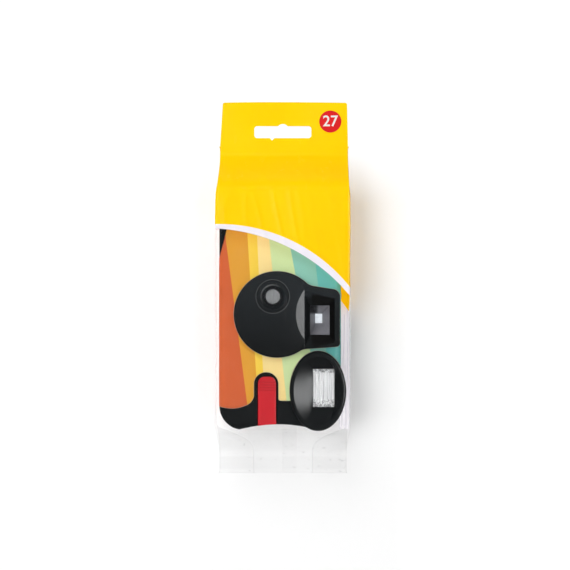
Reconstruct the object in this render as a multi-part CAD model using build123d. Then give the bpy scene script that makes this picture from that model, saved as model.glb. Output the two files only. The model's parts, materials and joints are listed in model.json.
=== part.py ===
from build123d import *
import math
import os

# All sizes are millimetres. The camera hangs on end in its pouch: +X is the camera's top,
# -Y is its front with the lens, and +Z is up. The origin is the centre of the pouch's hang slot.

# The film's width, its can and the viewfinder beside it, which set how tall the camera is
lens_x = -4.8
film_width = 35.0
film_x0 = lens_x - film_width / 2
film_x1 = film_x0 + film_width
can_end = 6.0
cartridge_x0 = film_x0 - can_end
cartridge_length = film_width + 2 * can_end
finder_film_gap = 0.4
finder_width = 9.4
finder_top_room = 5.3
finder_x0 = film_x1 + finder_film_gap
finder_x1 = finder_x0 + finder_width

# Camera body
base_room = 2.2
base_x = cartridge_x0 - base_room
top_x = finder_x1 + finder_top_room
low_z = -143.7
camera_length = 117.0
high_z = low_z + camera_length
front_y = -11.5
camera_depth = 28.5
back_y = front_y + camera_depth
split_depth = 17.5
split_y = front_y + split_depth
wall = 1.3
low_corner_radius = 12.0
high_corner_radius = 7.0
front_end_radius = 4.0
back_end_radius = 8.0
long_edge_radius = 3.0
scallop_radius = 65.7
scallop_x = -2.3
scallop_rise = 2.9
pad_height = 0.8
label_thickness = 0.15
rib_width = 1.6
rib_z0 = -108.0
rib_z1 = -58.0

# Fits
overrun = 5.0
running_gap = 0.08
loose_gap = 0.3
seat_gap = 0.1
panel_gap = 0.15
sheet = 0.3

# The label's field on the front
field_left_low_z = -132.4
field_low_z = -133.9
field_low_inset = 10.0
field_low_x = base_x + field_low_inset
field_low_radius = 16.0
field_rise_radius = 6.0
surround_x0 = -13.8
surround_x1 = -2.2
surround_high_z = -115.9
surround_foot_z = -129.6
field_high_z = -38.0
field_high_inset = 6.0
field_high_x = base_x + field_high_inset
field_wedge_z = -61.0
field_high_radius = 9.0
arch_share = 0.97

# Lens boss and viewfinder hood
lens_z = -79.5
boss_x = -2.8
boss_z = -88.1
boss_radius = 20.6
dome_radius = 90.0
dome_height = 4.8
hood_height = 3.7
hood_ramp = 4.0
hood_side_room = 4.8
hood_right_x = finder_x1 + hood_side_room
hood_high_z = -76.6
hood_low_z = -103.4
hood_neck_radius = 8.0
hood_corner_radius = 3.4
neck_high_share = 0.38
neck_low_share = 0.28
hood_neck_rise = 2.2
hood_neck_back = 3.1
hood_neck_drop = 1.2
finder_z0 = -97.9
finder_z1 = -83.8
funnel_reach_left = 2.7
funnel_reach_right = 2.5
funnel_reach_high = 5.8
funnel_reach_low = 6.1
funnel_skew = 2.3
facet_slope = 0.32
facet_depth = 3.0
facet_half_length = 14.2

# Lens
lens_radius = 4.7
lens_edge = 0.8
lens_crown = 0.45
lens_ring_depth = 1.3
lens_ring_bore = 3.5
lens_hole_radius = 2.6
lens_seat_depth = 0.8
barrel_radius = 4.9
barrel_mouth_radius = 6.4
groove_outer_radius = 7.7
groove_width = 0.6
groove_depth = 0.5

# Flash bowl
bowl_top_room = 10.9
bowl_x = top_x - bowl_top_room
bowl_z = -124.8
bowl_half_width = 13.5
bowl_half_length = 19.1
bowl_height = 4.3
bowl_back = 11.5
bowl_rim = 1.8
bowl_edge_round = 1.2
flash_reach_left = 2.4
flash_width = 10.3
flash_x0 = bowl_x - flash_reach_left
flash_x1 = flash_x0 + flash_width
flash_z0 = -132.7
flash_z1 = -114.2
window_sink = 0.8
window_thickness = 2.3

# Flash switch
switch_x0 = -11.9
switch_x1 = -3.2
switch_high_z = -118.0
switch_corner_radius = 3.2
switch_travel = 1.5
switch_side_gap = 0.5
switch_proud = 1.0
switch_recess = 0.3
switch_stem_width = 3.6
switch_stem_length = 5.0
switch_stem_z = -128.0
switch_head_extra = 1.2
switch_head_thickness = 0.5
ridge_count = 4
ridge_pitch = 1.9
ridge_depth = 0.25
ridge_width = 0.7

# Film cartridge and film
cartridge_z = -43.5
cartridge_y = 2.75
cartridge_radius = 12.5
cartridge_wall = 0.4
cap_thickness = 0.6
spool_radius = 5.5
spool_key_radius = 4.4
key_width = 1.6
key_depth = 4.0
film_thickness = 0.15
film_y = 14.0
frame_height = 24.0
frame_width = 36.0
perforation_pitch = 4.75
perforation_width = 2.8
perforation_height = 1.98
perforation_edge = 2.0
lip_length = 6.0
lip_height = 0.7
roll_z = -118.5
roll_radius = 8.1
roll_y = film_y - roll_radius - seat_gap
core_radius = 3.0
core_pin_radius = 1.5
core_pin_length = 1.3
chamber_wall = 0.9

# Advance wheel, sprocket, counter
wheel_radius = 12.7
thumb_scoop_radius = 14.0
thumb_scoop_depth = 2.5
wheel_thickness = 3.0
wheel_notch_count = 48
wheel_notch_radius = 0.45
wheel_hub_radius = 4.0
pawl_gap = 0.4
pawl_length = 5.0
pawl_thickness = 0.5
pawl_foot = 1.0
deck_x = cartridge_x0 + cartridge_length + loose_gap
deck_thickness = 1.0
deck_gap = 0.4
sprocket_y = 7.9
sprocket_z = -62.2
sprocket_radius = 5.2
sprocket_tooth = 0.7
sprocket_tooth_count = 8
sprocket_thickness = 2.2
shaft_radius = 1.5
shaft_foot = 1.6
cam_radius = 3.0
cam_finger = 0.9
cam_thickness = 1.4
counter_y = 1.0
counter_z = -73.5
counter_radius = 8.4
counter_tooth = 0.5
counter_tooth_count = 30
counter_thickness = 0.8
counter_hub_radius = 2.0
counter_pin_radius = 1.2
counter_top_room = 5.8
counter_x = top_x - counter_top_room
counter_window_radius = 2.6
counter_window_z = counter_z - 5.6
window_dome = 0.7

# Shutter
button_y0 = -7.8
button_y1 = 1.0
button_z0 = -66.5
button_z1 = -54.5
button_travel = 1.5
button_proud = button_travel + seat_gap
button_corner = 2.4
button_edge_round = 0.5
flange_extra = 0.6
flange_thickness = 1.0
stem_radius = 1.4
stem_y = -7.5
stem_z = -60.5
button_stem_gap = 0.3
lever_thickness = 1.4
lever_y = -9.4
lever_pivot_drop = 4.5
lever_pivot_z = -66.0
lever_top_x = deck_x + deck_thickness
lever_pivot_x = lever_top_x - lever_pivot_drop
lever_tip_x = 1.5
lever_tip_z = -68.9
lever_arm_width = 2.4
lever_post_radius = 1.2
blade_y = -7.6
blade_thickness = 0.3
blade_pivot_x = 4.0
blade_pivot_z = -71.5
blade_radius = 4.2
blade_arm_width = 3.0
blade_pin_radius = 0.8
aperture_radius = 1.5
spring_radius = 0.8
spring_length = 6.0
leaf_gap = 1.2
leaf_width = 2.0
leaf_length = 9.0

# Chassis
plate_y = -6.9
plate_thickness = 1.0
chassis_wall = 1.0
tunnel_wall = 0.8
tunnel_front_half = 3.4
gate_thickness = 1.2
rail_x = film_x0 - loose_gap - chassis_wall
sprocket_bracket_gap = 0.5
sprocket_bracket_x = film_x1 - perforation_edge - sprocket_thickness - sprocket_bracket_gap
cradle_share = 0.7
post_radius = 1.2

# Viewfinder block
finder_wall = 0.8
finder_grow = 0.2
finder_front_y = -9.6
finder_back_y = 14.8
finder_lens_thickness = 1.5
eyepiece_thickness = 1.4
eyepiece_half_width = 3.6
eyepiece_half_length = 5.2

# Battery
battery_radius = 7.1
battery_side_gap = 0.2
battery_x = base_x + wall + battery_side_gap + battery_radius
battery_y = -3.0
battery_low_z = -110.0
battery_length = 50.5
battery_button_radius = 2.7
battery_button_height = 1.2
contact_thickness = 0.4

# Flash electronics
board_y = -8.6
board_thickness = 1.2
board_side_room = 4.5
board_flash_gap = 1.6
board_x0 = base_x + board_side_room
board_x1 = flash_x0 - board_flash_gap
board_z0 = -138.4
board_z1 = -112.2
board_corner = 3.0
transformer_width = 6.4
transformer_edge_gap = 0.2
transformer_x0 = board_x1 - transformer_edge_gap - transformer_width
capacitor_inset = 1.0
capacitor_end_gap = 1.3
capacitor_x0 = board_x0 + capacitor_inset
capacitor_length = transformer_x0 - capacitor_end_gap - capacitor_x0
capacitor_y = 2.0
capacitor_z = -133.4
capacitor_radius = 5.5
capacitor_groove = 0.5
transformer_height = 8.6
transformer_z0 = -138.2
transformer_length = 9.0
trigger_inset = 4.0
trigger_x0 = board_x0 + trigger_inset
trigger_length = 8.0
trigger_radius = 1.4
trigger_z = -114.4
trigger_flange = 0.3
transistor_width = 4.4
transistor_length = 4.6
resistor_radius = 0.6
resistor_length = 5.0
resistor_pitch = 2.6
tube_radius = 1.6
tube_x = (flash_x0 + flash_x1) / 2
tube_y = -6.6
tube_overhang = 1.6
reflector_side = 0.8
reflector_end = 0.8
reflector_depth = 6.8
trough_offset = 0.6
lamp_radius = 1.4
lamp_length = 6.0
lamp_y = 0.0
lamp_z = -105.6
lamp_post_drop = 10.5
lamp_post_x0 = top_x - lamp_post_drop
light_pipe_radius = 1.7
pipe_drop = 1.2

# Doors on the base
door_y0 = -7.5
film_door_y1 = 13.0
film_door_z0 = -55.5
film_door_z1 = -31.5
battery_door_y1 = 1.5
battery_door_z0 = -110.5
battery_door_z1 = -61.5

# Pouch
film_wall = 0.3
pouch_side_room = 1.7
pouch_half_width = pouch_side_room - base_x
pouch_front_y = -17.7
pouch_back_y = 18.7
pouch_corner = 2.5
sleeve_high_z = -26.0
sleeve_low_z = -144.6
header_high_z = 14.2
header_left_inset = 3.2
header_right_inset = 1.1
header_x0 = header_left_inset - pouch_half_width
header_x1 = pouch_half_width - header_right_inset
header_foot_spread_left = 1.5
header_foot_spread_right = 0.5
header_foot_x0 = header_x0 - header_foot_spread_left
header_foot_x1 = header_x1 + header_foot_spread_right
header_low_z = -9.0
header_half_thickness = 0.4
header_corner = 1.0
slot_width = 27.6
slot_height = 5.8
slot_corner = 1.4
slot_bump_radius = 3.0
slot_bump_rise = 1.1
slot_nick_x = -5.2
slot_nick_width = 2.2
slot_nick_depth = 1.2
flap_low_z = -165.1
flap_weld_z = -155.5
flap_left_inset = 1.4
flap_right_inset = 1.2
flap_x0 = flap_left_inset - pouch_half_width
flap_x1 = pouch_half_width - flap_right_inset
print_left_z = -46.9
print_middle_x = 9.9
print_middle_z = -59.9
print_right_z = -86.0


def slab(x0, x1, y0, y1, z0, z1):
    """A box between two corners."""
    return Pos(x0, y0, z0) * Box(x1 - x0, y1 - y0, z1 - z0, align=(Align.MIN,) * 3)


def rod_x(radius, x0, x1, y, z):
    """A cylinder along X."""
    return Pos((x0 + x1) / 2, y, z) * Rot(0, 90, 0) * Cylinder(radius, x1 - x0)


def rod_y(radius, y0, y1, x, z):
    """A cylinder along Y."""
    return Pos(x, (y0 + y1) / 2, z) * Rot(90, 0, 0) * Cylinder(radius, y1 - y0)


def rod_z(radius, z0, z1, x, y):
    """A cylinder along Z."""
    return Pos(x, y, (z0 + z1) / 2) * Cylinder(radius, z1 - z0)


def cone_y(radius_front, radius_back, y0, y1, x, z):
    """A cone along Y, with one radius at its front and another at its back."""
    return Pos(x, (y0 + y1) / 2, z) * Rot(90, 0, 0) * Cone(radius_back, radius_front, y1 - y0)


def prism_y(sketch, y0, y1):
    """A sketch of X and Z, drawn out along Y."""
    return extrude(Plane.XZ.offset(-y1) * sketch, amount=y1 - y0)


def prism_x(sketch, x0, x1):
    """A sketch of Y and Z, drawn out along X."""
    return extrude(Plane.YZ.offset(x0) * sketch, amount=x1 - x0)


def rounded(points, radii):
    """A closed face through some corners, each with its own rounding."""
    return make_face(FilletPolyline(*points, radius=radii, close=True))


def corners(u0, u1, v0, v1):
    """The four corners of a rectangle."""
    return [(u0, v0), (u0, v1), (u1, v1), (u1, v0)]


def body_block(inset, front=front_y):
    """The camera's rounded outer form, or that form drawn in by an inset."""
    plan = rounded(
        corners(base_x + inset, top_x - inset, low_z + inset, high_z - inset),
        [
            low_corner_radius - inset, high_corner_radius - inset, high_corner_radius - inset,
            low_corner_radius - inset,
        ],
    )
    side = rounded(
        corners(front + inset, back_y - inset, low_z + inset, high_z - inset),
        [
            front_end_radius - inset, front_end_radius - inset, back_end_radius - inset,
            back_end_radius - inset,
        ],
    )
    section = rounded(
        corners(base_x + inset, top_x - inset, front + inset, back_y - inset),
        [long_edge_radius - inset] * 4,
    )
    block = prism_y(plan, front + inset, back_y - inset)
    block = block & prism_x(side, base_x + inset, top_x - inset)
    block = block & extrude(Plane.XY.offset(low_z) * section, amount=camera_length)
    scallop_z = low_z + scallop_rise - scallop_radius
    return block - rod_y(scallop_radius + inset, front - overrun, back_y + overrun, scallop_x, scallop_z)


def boss_outline(extra=0.0):
    """The lens boss and the viewfinder hood, seen from the front."""
    neck_high_x = boss_x + boss_radius * neck_high_share
    neck_low_x = boss_x + boss_radius * neck_low_share
    neck_high_z = boss_z + boss_radius * math.sqrt(1 - neck_high_share**2)
    neck_low_z = boss_z - boss_radius * math.sqrt(1 - neck_low_share**2)
    hood = rounded(
        [
            (neck_high_x, neck_high_z), (finder_x0, hood_high_z + hood_neck_rise),
            (hood_right_x, hood_high_z), (hood_right_x, hood_low_z),
            (finder_x0 - hood_neck_back, hood_low_z - hood_neck_drop), (neck_low_x, neck_low_z),
            (boss_x, boss_z),
        ],
        [0, hood_neck_radius, hood_corner_radius, hood_corner_radius / 2, hood_neck_radius, 0, 0],
    )
    outline = Pos(boss_x, boss_z) * Circle(boss_radius) + hood
    if extra:
        outline = offset(outline, amount=extra)
    return outline


def bowl_outline(extra=0.0):
    """The flash bowl, seen from the front."""
    return Pos(bowl_x, bowl_z) * Ellipse(bowl_half_width + extra, bowl_half_length + extra)


def label_field():
    """The part of the front that the label covers, before the boss and bowl are left out of it."""
    arch = (surround_x1 - surround_x0) / 2
    return rounded(
        [
            (base_x - overrun, field_left_low_z), (base_x, field_left_low_z),
            (field_low_x - arch / 2, field_low_z), (surround_x0 - arch / 4, field_low_z + arch / 2),
            (surround_x0, surround_high_z - arch * 2), (surround_x0, surround_high_z),
            (surround_x1, surround_high_z), (surround_x1, surround_foot_z), (bowl_x, surround_foot_z),
            (top_x + overrun, bowl_z), (top_x + overrun, field_high_z), (field_high_x, field_high_z),
            (base_x, field_wedge_z), (base_x - overrun, field_wedge_z),
        ],
        [
            0, arch, field_low_radius, field_rise_radius, arch / 2, arch * arch_share, arch * arch_share,
            wall, 0, 0, 0, field_high_radius, 0, 0,
        ],
    )


def switch_outline(extra=0.0, rise=0.0):
    """The flash switch, seen from the front, down past the camera's end."""
    return rounded(
        corners(switch_x0 - extra, switch_x1 + extra, low_z - overrun, switch_high_z + rise),
        [0, switch_corner_radius + extra, switch_corner_radius + extra, 0],
    )


def side_band(z0, z1, y0, y1):
    """A slab through the base wall."""
    return slab(base_x - overrun, base_x + wall + seat_gap, y0, y1, z0, z1)


def boss_form():
    """The domed boss with its hood, before any hole."""
    outline = boss_outline()
    reach = prism_y(outline, front_y - dome_height - overrun, front_y + wall / 2)
    dome = reach & (Pos(boss_x, front_y - dome_height + dome_radius, boss_z) * Sphere(dome_radius))
    shoulder_x = finder_x0 - funnel_reach_left
    top_y = front_y - hood_height
    section = Polyline(
        (shoulder_x - hood_ramp, front_y + wall / 2), (shoulder_x - hood_ramp, front_y - hood_height / 2),
        (shoulder_x + hood_ramp / 2, top_y), (hood_right_x, top_y), (hood_right_x, front_y + wall / 2),
        close=True,
    )
    length = hood_high_z - hood_low_z + 2 * overrun
    hood = reach & extrude(Plane.XY.offset(hood_low_z - overrun) * make_face(section), amount=length)
    return dome + hood


def front_cover():
    """The front half of the case, with its boss, hood, bowl and switch recess."""
    shell = body_block(0) - body_block(wall)
    pads = prism_y(
        Rectangle(camera_length * 3, camera_length * 3) - label_field(), front_y - pad_height,
        front_y + wall / 2,
    )
    raised = (body_block(0, front_y - pad_height) & pads) - body_block(wall)
    shell = shell + raised
    shell = shell & slab(
        base_x - overrun, top_x + overrun, front_y - overrun, split_y, low_z - overrun, high_z + overrun,
    )
    shell = shell + boss_form()
    bowl = prism_y(bowl_outline(), front_y - bowl_height, front_y + bowl_back)
    bowl = fillet(bowl.faces().sort_by(Axis.Y)[0].edges(), bowl_edge_round)
    shell = shell + (bowl - body_block(wall))
    shell = shell - facet_cut() - funnel_cut() - lens_cut() - dish_cut()
    recess = switch_outline(switch_side_gap, switch_travel + seat_gap)
    shell = shell - prism_y(recess, front_y - overrun, front_y + switch_recess)
    shell = shell - switch_slot()
    shell = shell - side_band(
        film_door_z0 - panel_gap, film_door_z1 + panel_gap, door_y0 - panel_gap, split_y + overrun,
    )
    shell = shell - side_band(
        battery_door_z0 - panel_gap, battery_door_z1 + panel_gap, door_y0 - panel_gap,
        battery_door_y1 + panel_gap,
    )
    shell = shell - button_form(panel_gap)
    shell = shell - rod_x(
        counter_window_radius + seat_gap, top_x - wall - seat_gap, top_x + overrun, counter_y,
        counter_window_z,
    )
    shell = shell - rod_x(
        light_pipe_radius + seat_gap, top_x - wall - seat_gap, top_x + overrun, lamp_y, lamp_z,
    )
    return shell


def facet_cut():
    """The sloping facet between the dome and the viewfinder's funnel."""
    edge_x = finder_x0 - funnel_reach_left + seat_gap
    edge_y = front_y - facet_depth
    far = overrun
    triangle = Polyline(
        (edge_x, edge_y), (edge_x, edge_y - far), (edge_x - far / facet_slope, edge_y - far), close=True,
    )
    middle = (finder_z0 + finder_z1) / 2
    return extrude(
        Plane.XY.offset(middle - facet_half_length) * make_face(triangle), amount=2 * facet_half_length,
    )


def funnel_cut():
    """The funnel in front of the viewfinder, and the hole behind it."""
    mouth_y = front_y - dome_height
    left_share = dome_height / facet_depth
    right_share = dome_height / hood_height
    left = finder_x0 - funnel_reach_left * left_share
    right = finder_x1 + funnel_reach_right * right_share
    mouth = Plane.XZ.offset(-mouth_y) * make_face(
        Polyline(
            (left, finder_z0 - funnel_reach_low * left_share),
            (left, finder_z1 + funnel_reach_high * left_share),
            (right, finder_z1 + (funnel_reach_high - funnel_skew) * right_share),
            (right, finder_z0 - (funnel_reach_low - funnel_skew) * right_share), close=True,
        ),
    )
    throat = Plane.XZ.offset(-front_y) * make_face(
        Polyline(*corners(finder_x0, finder_x1, finder_z0, finder_z1), close=True)
    )
    funnel = loft([mouth, throat], ruled=True)
    hole = slab(finder_x0, finder_x1, front_y, front_y + wall + overrun / 5, finder_z0, finder_z1)
    return funnel + hole


def lens_cut():
    """The conical mouth, groove and seat of the lens."""
    surface_y = front_y - dome_height
    mouth_back = surface_y + (dome_height - lens_seat_depth) / 2
    seat_y = front_y - lens_seat_depth
    mouth = cone_y(barrel_mouth_radius, barrel_radius, surface_y, mouth_back, lens_x, lens_z)
    seat = rod_y(lens_radius + seat_gap, mouth_back - overrun, seat_y, lens_x, lens_z)
    hole = rod_y(lens_hole_radius, seat_y - overrun, front_y + wall + overrun / 5, lens_x, lens_z)
    groove = rod_y(groove_outer_radius, surface_y - overrun, front_y, lens_x, lens_z)
    groove = groove - rod_y(
        groove_outer_radius - groove_width, surface_y - overrun * 2, front_y + overrun, lens_x, lens_z,
    )
    groove = groove - Pos(boss_x, surface_y + dome_radius, boss_z) * Sphere(dome_radius - groove_depth)
    return mouth + seat + hole + groove


def dish_cut():
    """The flash dish, lofted from an oval rim to the square window, and the window's hole."""
    rim_y = front_y - bowl_height
    floor_y = front_y - window_sink
    mouth_width = bowl_half_width - bowl_rim
    mouth_length = bowl_half_length - bowl_rim - window_sink
    turn = 90
    start = math.degrees(math.atan2(flash_z1 - flash_z0, flash_x1 - flash_x0))
    arcs = [start, 2 * turn - start, 2 * turn + start, 4 * turn - start, 4 * turn + start]
    edges = []
    for first, last in zip(arcs[:-1], arcs[1:]):
        edges.append(EllipticalCenterArc(
            (bowl_x, bowl_z), mouth_width, mouth_length, start_angle=first, arc_size=last - first,
        ))
    mouth = Plane.XZ.offset(-rim_y) * make_face(edges)
    floor = Plane.XZ.offset(-floor_y) * make_face(
        Polyline(
            (flash_x1, flash_z1), (flash_x0, flash_z1), (flash_x0, flash_z0), (flash_x1, flash_z0),
            close=True,
        ),
    )
    dish = loft([mouth, floor], ruled=True)
    hole = slab(flash_x0, flash_x1, floor_y, front_y + wall + overrun / 5, flash_z0, flash_z1)
    return dish + hole


def switch_slot():
    """The slot in the recess floor that the switch's stem moves in."""
    middle = (switch_x0 + switch_x1) / 2
    half = switch_stem_width / 2 + seat_gap * 2
    return slab(
        middle - half, middle + half, front_y - overrun, front_y + wall + overrun / 5,
        switch_stem_z - seat_gap * 2, switch_stem_z + switch_stem_length + switch_travel + seat_gap * 2,
    )


def button_form(extra=0.0):
    """The shutter button's cap, as a rounded prism through the top wall."""
    face = rounded(
        corners(button_y0 - extra, button_y1 + extra, button_z0 - extra, button_z1 + extra),
        [button_corner + extra] * 4,
    )
    return prism_x(face, top_x - wall - seat_gap, top_x + button_proud)


def rear_cover():
    """The back half of the case, with the wheel slot, eyepiece hole and film ribs."""
    shell = body_block(0) - body_block(wall)
    shell = shell & slab(
        base_x - overrun, top_x + overrun, split_y, back_y + overrun, low_z - overrun, high_z + overrun,
    )
    inner_y = back_y - wall
    rib_front = film_y + film_thickness + seat_gap
    for x in (film_x0, film_x1 - rib_width):
        shell = shell + slab(x, x + rib_width, rib_front, inner_y + wall / 2, rib_z0, rib_z1)
    eye_x = (finder_x0 + finder_x1) / 2
    eye_z = (finder_z0 + finder_z1) / 2
    frame = slab(
        eye_x - eyepiece_half_width - wall, eye_x + eyepiece_half_width + wall, inner_y,
        back_y + label_thickness * 3, eye_z - eyepiece_half_length - wall,
        eye_z + eyepiece_half_length + wall,
    )
    shell = shell + frame
    shell = shell - slab(
        eye_x - eyepiece_half_width, eye_x + eyepiece_half_width, inner_y - overrun / 5, back_y + overrun,
        eye_z - eyepiece_half_length, eye_z + eyepiece_half_length,
    )
    shell = shell - thumb_scoop()
    shell = shell - side_band(
        film_door_z0 - panel_gap, film_door_z1 + panel_gap, split_y - overrun, film_door_y1 + panel_gap,
    )
    return shell


def thumb_scoop():
    """The scoop through the back wall, where a thumb turns the advance wheel."""
    low = deck_x + deck_thickness
    high = low + deck_gap + wheel_thickness + deck_gap
    return rod_x(
        thumb_scoop_radius, low, high, back_y - thumb_scoop_depth + thumb_scoop_radius, cartridge_z,
    )


def label_skin():
    """A thin skin over the whole case."""
    return body_block(-label_thickness) - body_block(0)


def front_label():
    """The printed label: it covers the front and laps round the base and the top."""
    field = label_field() - boss_outline(panel_gap) - bowl_outline(panel_gap)
    skin = label_skin() & prism_y(field, front_y - overrun, split_y - panel_gap)
    skin = skin - button_form(loose_gap)
    skin = skin - rod_x(
        counter_window_radius + loose_gap, top_x - wall, top_x + overrun, counter_y, counter_window_z,
    )
    skin = skin - rod_x(light_pipe_radius + loose_gap, top_x - wall, top_x + overrun, lamp_y, lamp_z)
    return skin


def back_label():
    """The plain label on the back."""
    margin = back_end_radius
    skin = label_skin() & slab(
        base_x - overrun, finder_x0 - wall * 2, split_y + panel_gap, back_y + overrun, low_z + margin,
        high_z - margin,
    )
    return skin


def film_door():
    """The snap door under the cartridge."""
    plate = slab(base_x, base_x + wall, door_y0, film_door_y1, film_door_z0, film_door_z1)
    return plate


def battery_door():
    """The snap door under the battery."""
    return slab(base_x, base_x + wall, door_y0, battery_door_y1, battery_door_z0, battery_door_z1)


def shutter_button():
    """The release button with its flange and stem."""
    cap = button_form()
    cap = fillet(cap.faces().sort_by(Axis.X)[-1].edges(), button_edge_round)
    flange_x = top_x - wall - seat_gap
    flange = slab(
        flange_x - flange_thickness, flange_x, button_y0 - flange_extra, button_y1 + flange_extra,
        button_z0 - flange_extra, button_z1 + flange_extra,
    )
    stem = rod_x(stem_radius, lever_top_x + button_stem_gap, flange_x, stem_y, stem_z)
    return cap + flange + stem


def strut(x0, z0, x1, z1, width, y0, y1):
    """A bar with round ends between two points of the front view."""
    length = math.hypot(x1 - x0, z1 - z0)
    turn = math.degrees(math.atan2(z1 - z0, x1 - x0))
    face = Pos((x0 + x1) / 2, (z0 + z1) / 2) * Rot(0, 0, turn) * SlotCenterToCenter(length, width)
    return prism_y(face, y0, y1)


def release_lever():
    """The lever that the button tips to trip the shutter."""
    y1 = lever_y + lever_thickness
    lever = strut(
        lever_top_x - lever_arm_width / 2, stem_z, lever_pivot_x, lever_pivot_z, lever_arm_width, lever_y,
        y1,
    )
    lever = lever + strut(
        lever_pivot_x, lever_pivot_z, lever_tip_x, lever_tip_z, lever_arm_width, lever_y, y1,
    )
    lever = lever + rod_y(lever_arm_width, lever_y, y1, lever_pivot_x, lever_pivot_z)
    return lever - rod_y(
        lever_post_radius + running_gap, lever_y - overrun, y1 + overrun, lever_pivot_x, lever_pivot_z,
    )


def lever_spring():
    """The return spring round the lever's post."""
    y0 = lever_y + lever_thickness + seat_gap
    spring = rod_y(lever_arm_width, y0, plate_y, lever_pivot_x, lever_pivot_z)
    return spring - rod_y(
        lever_post_radius + seat_gap, y0 - overrun, plate_y + overrun, lever_pivot_x, lever_pivot_z,
    )


def shutter_blade():
    """The thin blade that covers the aperture."""
    y1 = blade_y + blade_thickness
    blade = rod_y(blade_radius, blade_y, y1, lens_x, lens_z)
    blade = blade + strut(blade_pivot_x, blade_pivot_z, lens_x, lens_z, blade_arm_width, blade_y, y1)
    blade = blade - rod_y(
        blade_pin_radius + running_gap, blade_y - overrun, y1 + overrun, blade_pivot_x, blade_pivot_z,
    )
    return blade


def shutter_spring():
    """The small spring that draws the blade shut, beside the blade's pivot."""
    y = plate_y - spring_radius
    x0 = blade_pivot_x + blade_arm_width
    return rod_x(spring_radius, x0, x0 + spring_length, y, blade_pivot_z - blade_arm_width)


def lens():
    """The single lens: a disc with a crowned front."""
    back = front_y - lens_seat_depth
    front = back - lens_edge
    disc = rod_y(lens_radius, front, back, lens_x, lens_z)
    ball_radius = (lens_ring_bore**2 + lens_crown**2) / (2 * lens_crown)
    ball = Pos(lens_x, front - lens_crown + ball_radius, lens_z) * Sphere(ball_radius)
    crown = ball & rod_y(
        lens_ring_bore, front - lens_crown - overrun, front + lens_edge / 2, lens_x, lens_z,
    )
    return disc + crown


def lens_ring():
    """The black ring that holds the lens in its seat."""
    back = front_y - lens_seat_depth - lens_edge
    front = back - lens_ring_depth
    ring = rod_y(lens_radius, front, back, lens_x, lens_z)
    bore = cone_y(lens_ring_bore + lens_crown, lens_ring_bore, front, back, lens_x, lens_z)
    return ring - bore - rod_y(lens_ring_bore, front - overrun, back + overrun, lens_x, lens_z)


def viewfinder_lens():
    """The front lens of the viewfinder."""
    grow = seat_gap
    plate = slab(
        finder_x0 - grow, finder_x1 + grow, finder_front_y, finder_front_y + finder_lens_thickness,
        finder_z0 - grow, finder_z1 + grow,
    )
    bowl_radius = camera_depth * 2 / 3
    middle_x = (finder_x0 + finder_x1) / 2
    middle_z = (finder_z0 + finder_z1) / 2
    hollow = Pos(
        middle_x, finder_front_y + finder_lens_thickness / 2 + bowl_radius, middle_z,
    ) * Sphere(bowl_radius)
    return plate - hollow


def viewfinder_eyepiece():
    """The rear lens of the viewfinder, that the eye looks into."""
    grow = seat_gap
    back = finder_back_y
    plate = slab(
        finder_x0 - grow, finder_x1 + grow, back - eyepiece_thickness, back, finder_z0 - grow,
        finder_z1 + grow,
    )
    return plate


def flash_window():
    """The clear window of the flash, in its hole."""
    front = front_y - window_sink
    return slab(
        flash_x0 + seat_gap, flash_x1 - seat_gap, front, front + window_thickness, flash_z0 + seat_gap,
        flash_z1 - seat_gap,
    )


def flash_reflector():
    """The bright trough behind the flash tube."""
    front = front_y - window_sink + window_thickness + seat_gap
    back = front + reflector_depth
    block = slab(
        flash_x0 - reflector_side / 4, flash_x1 + reflector_side / 4, front, back,
        flash_z0 - reflector_end / 2, flash_z1 + reflector_end / 2,
    )
    radius = (flash_x1 - flash_x0) / 2 - reflector_side / 2
    trough = rod_z(
        radius, flash_z0 + reflector_end, flash_z1 - reflector_end, tube_x, front + trough_offset,
    )
    hole = rod_z(tube_radius + seat_gap, flash_z0 - overrun, flash_z1 + overrun, tube_x, tube_y)
    return block - trough - hole


def flash_tube():
    """The glass flash tube along the trough."""
    return rod_z(tube_radius, flash_z0 - tube_overhang, flash_z1 + tube_overhang, tube_x, tube_y)


def counter_window():
    """The small clear dome over the frame counter."""
    ball_radius = (counter_window_radius**2 + window_dome**2) / (2 * window_dome)
    ball = Pos(
        top_x + window_dome - ball_radius, counter_y, counter_window_z,
    ) * Rot(0, 0, 180) * Sphere(ball_radius)
    stem = rod_x(counter_window_radius, top_x - wall, top_x + window_dome * 2, counter_y, counter_window_z)
    return stem & ball


def ready_light_pipe():
    """The amber pipe that shows the ready light on the top."""
    lamp_top = top_x - wall - pipe_drop
    return rod_x(light_pipe_radius, lamp_top, top_x + window_dome / 2, lamp_y, lamp_z)


def ready_lamp():
    """The neon lamp below its pipe."""
    top = top_x - wall - pipe_drop - seat_gap
    return rod_x(lamp_radius, top - lamp_length, top, lamp_y, lamp_z)


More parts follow.
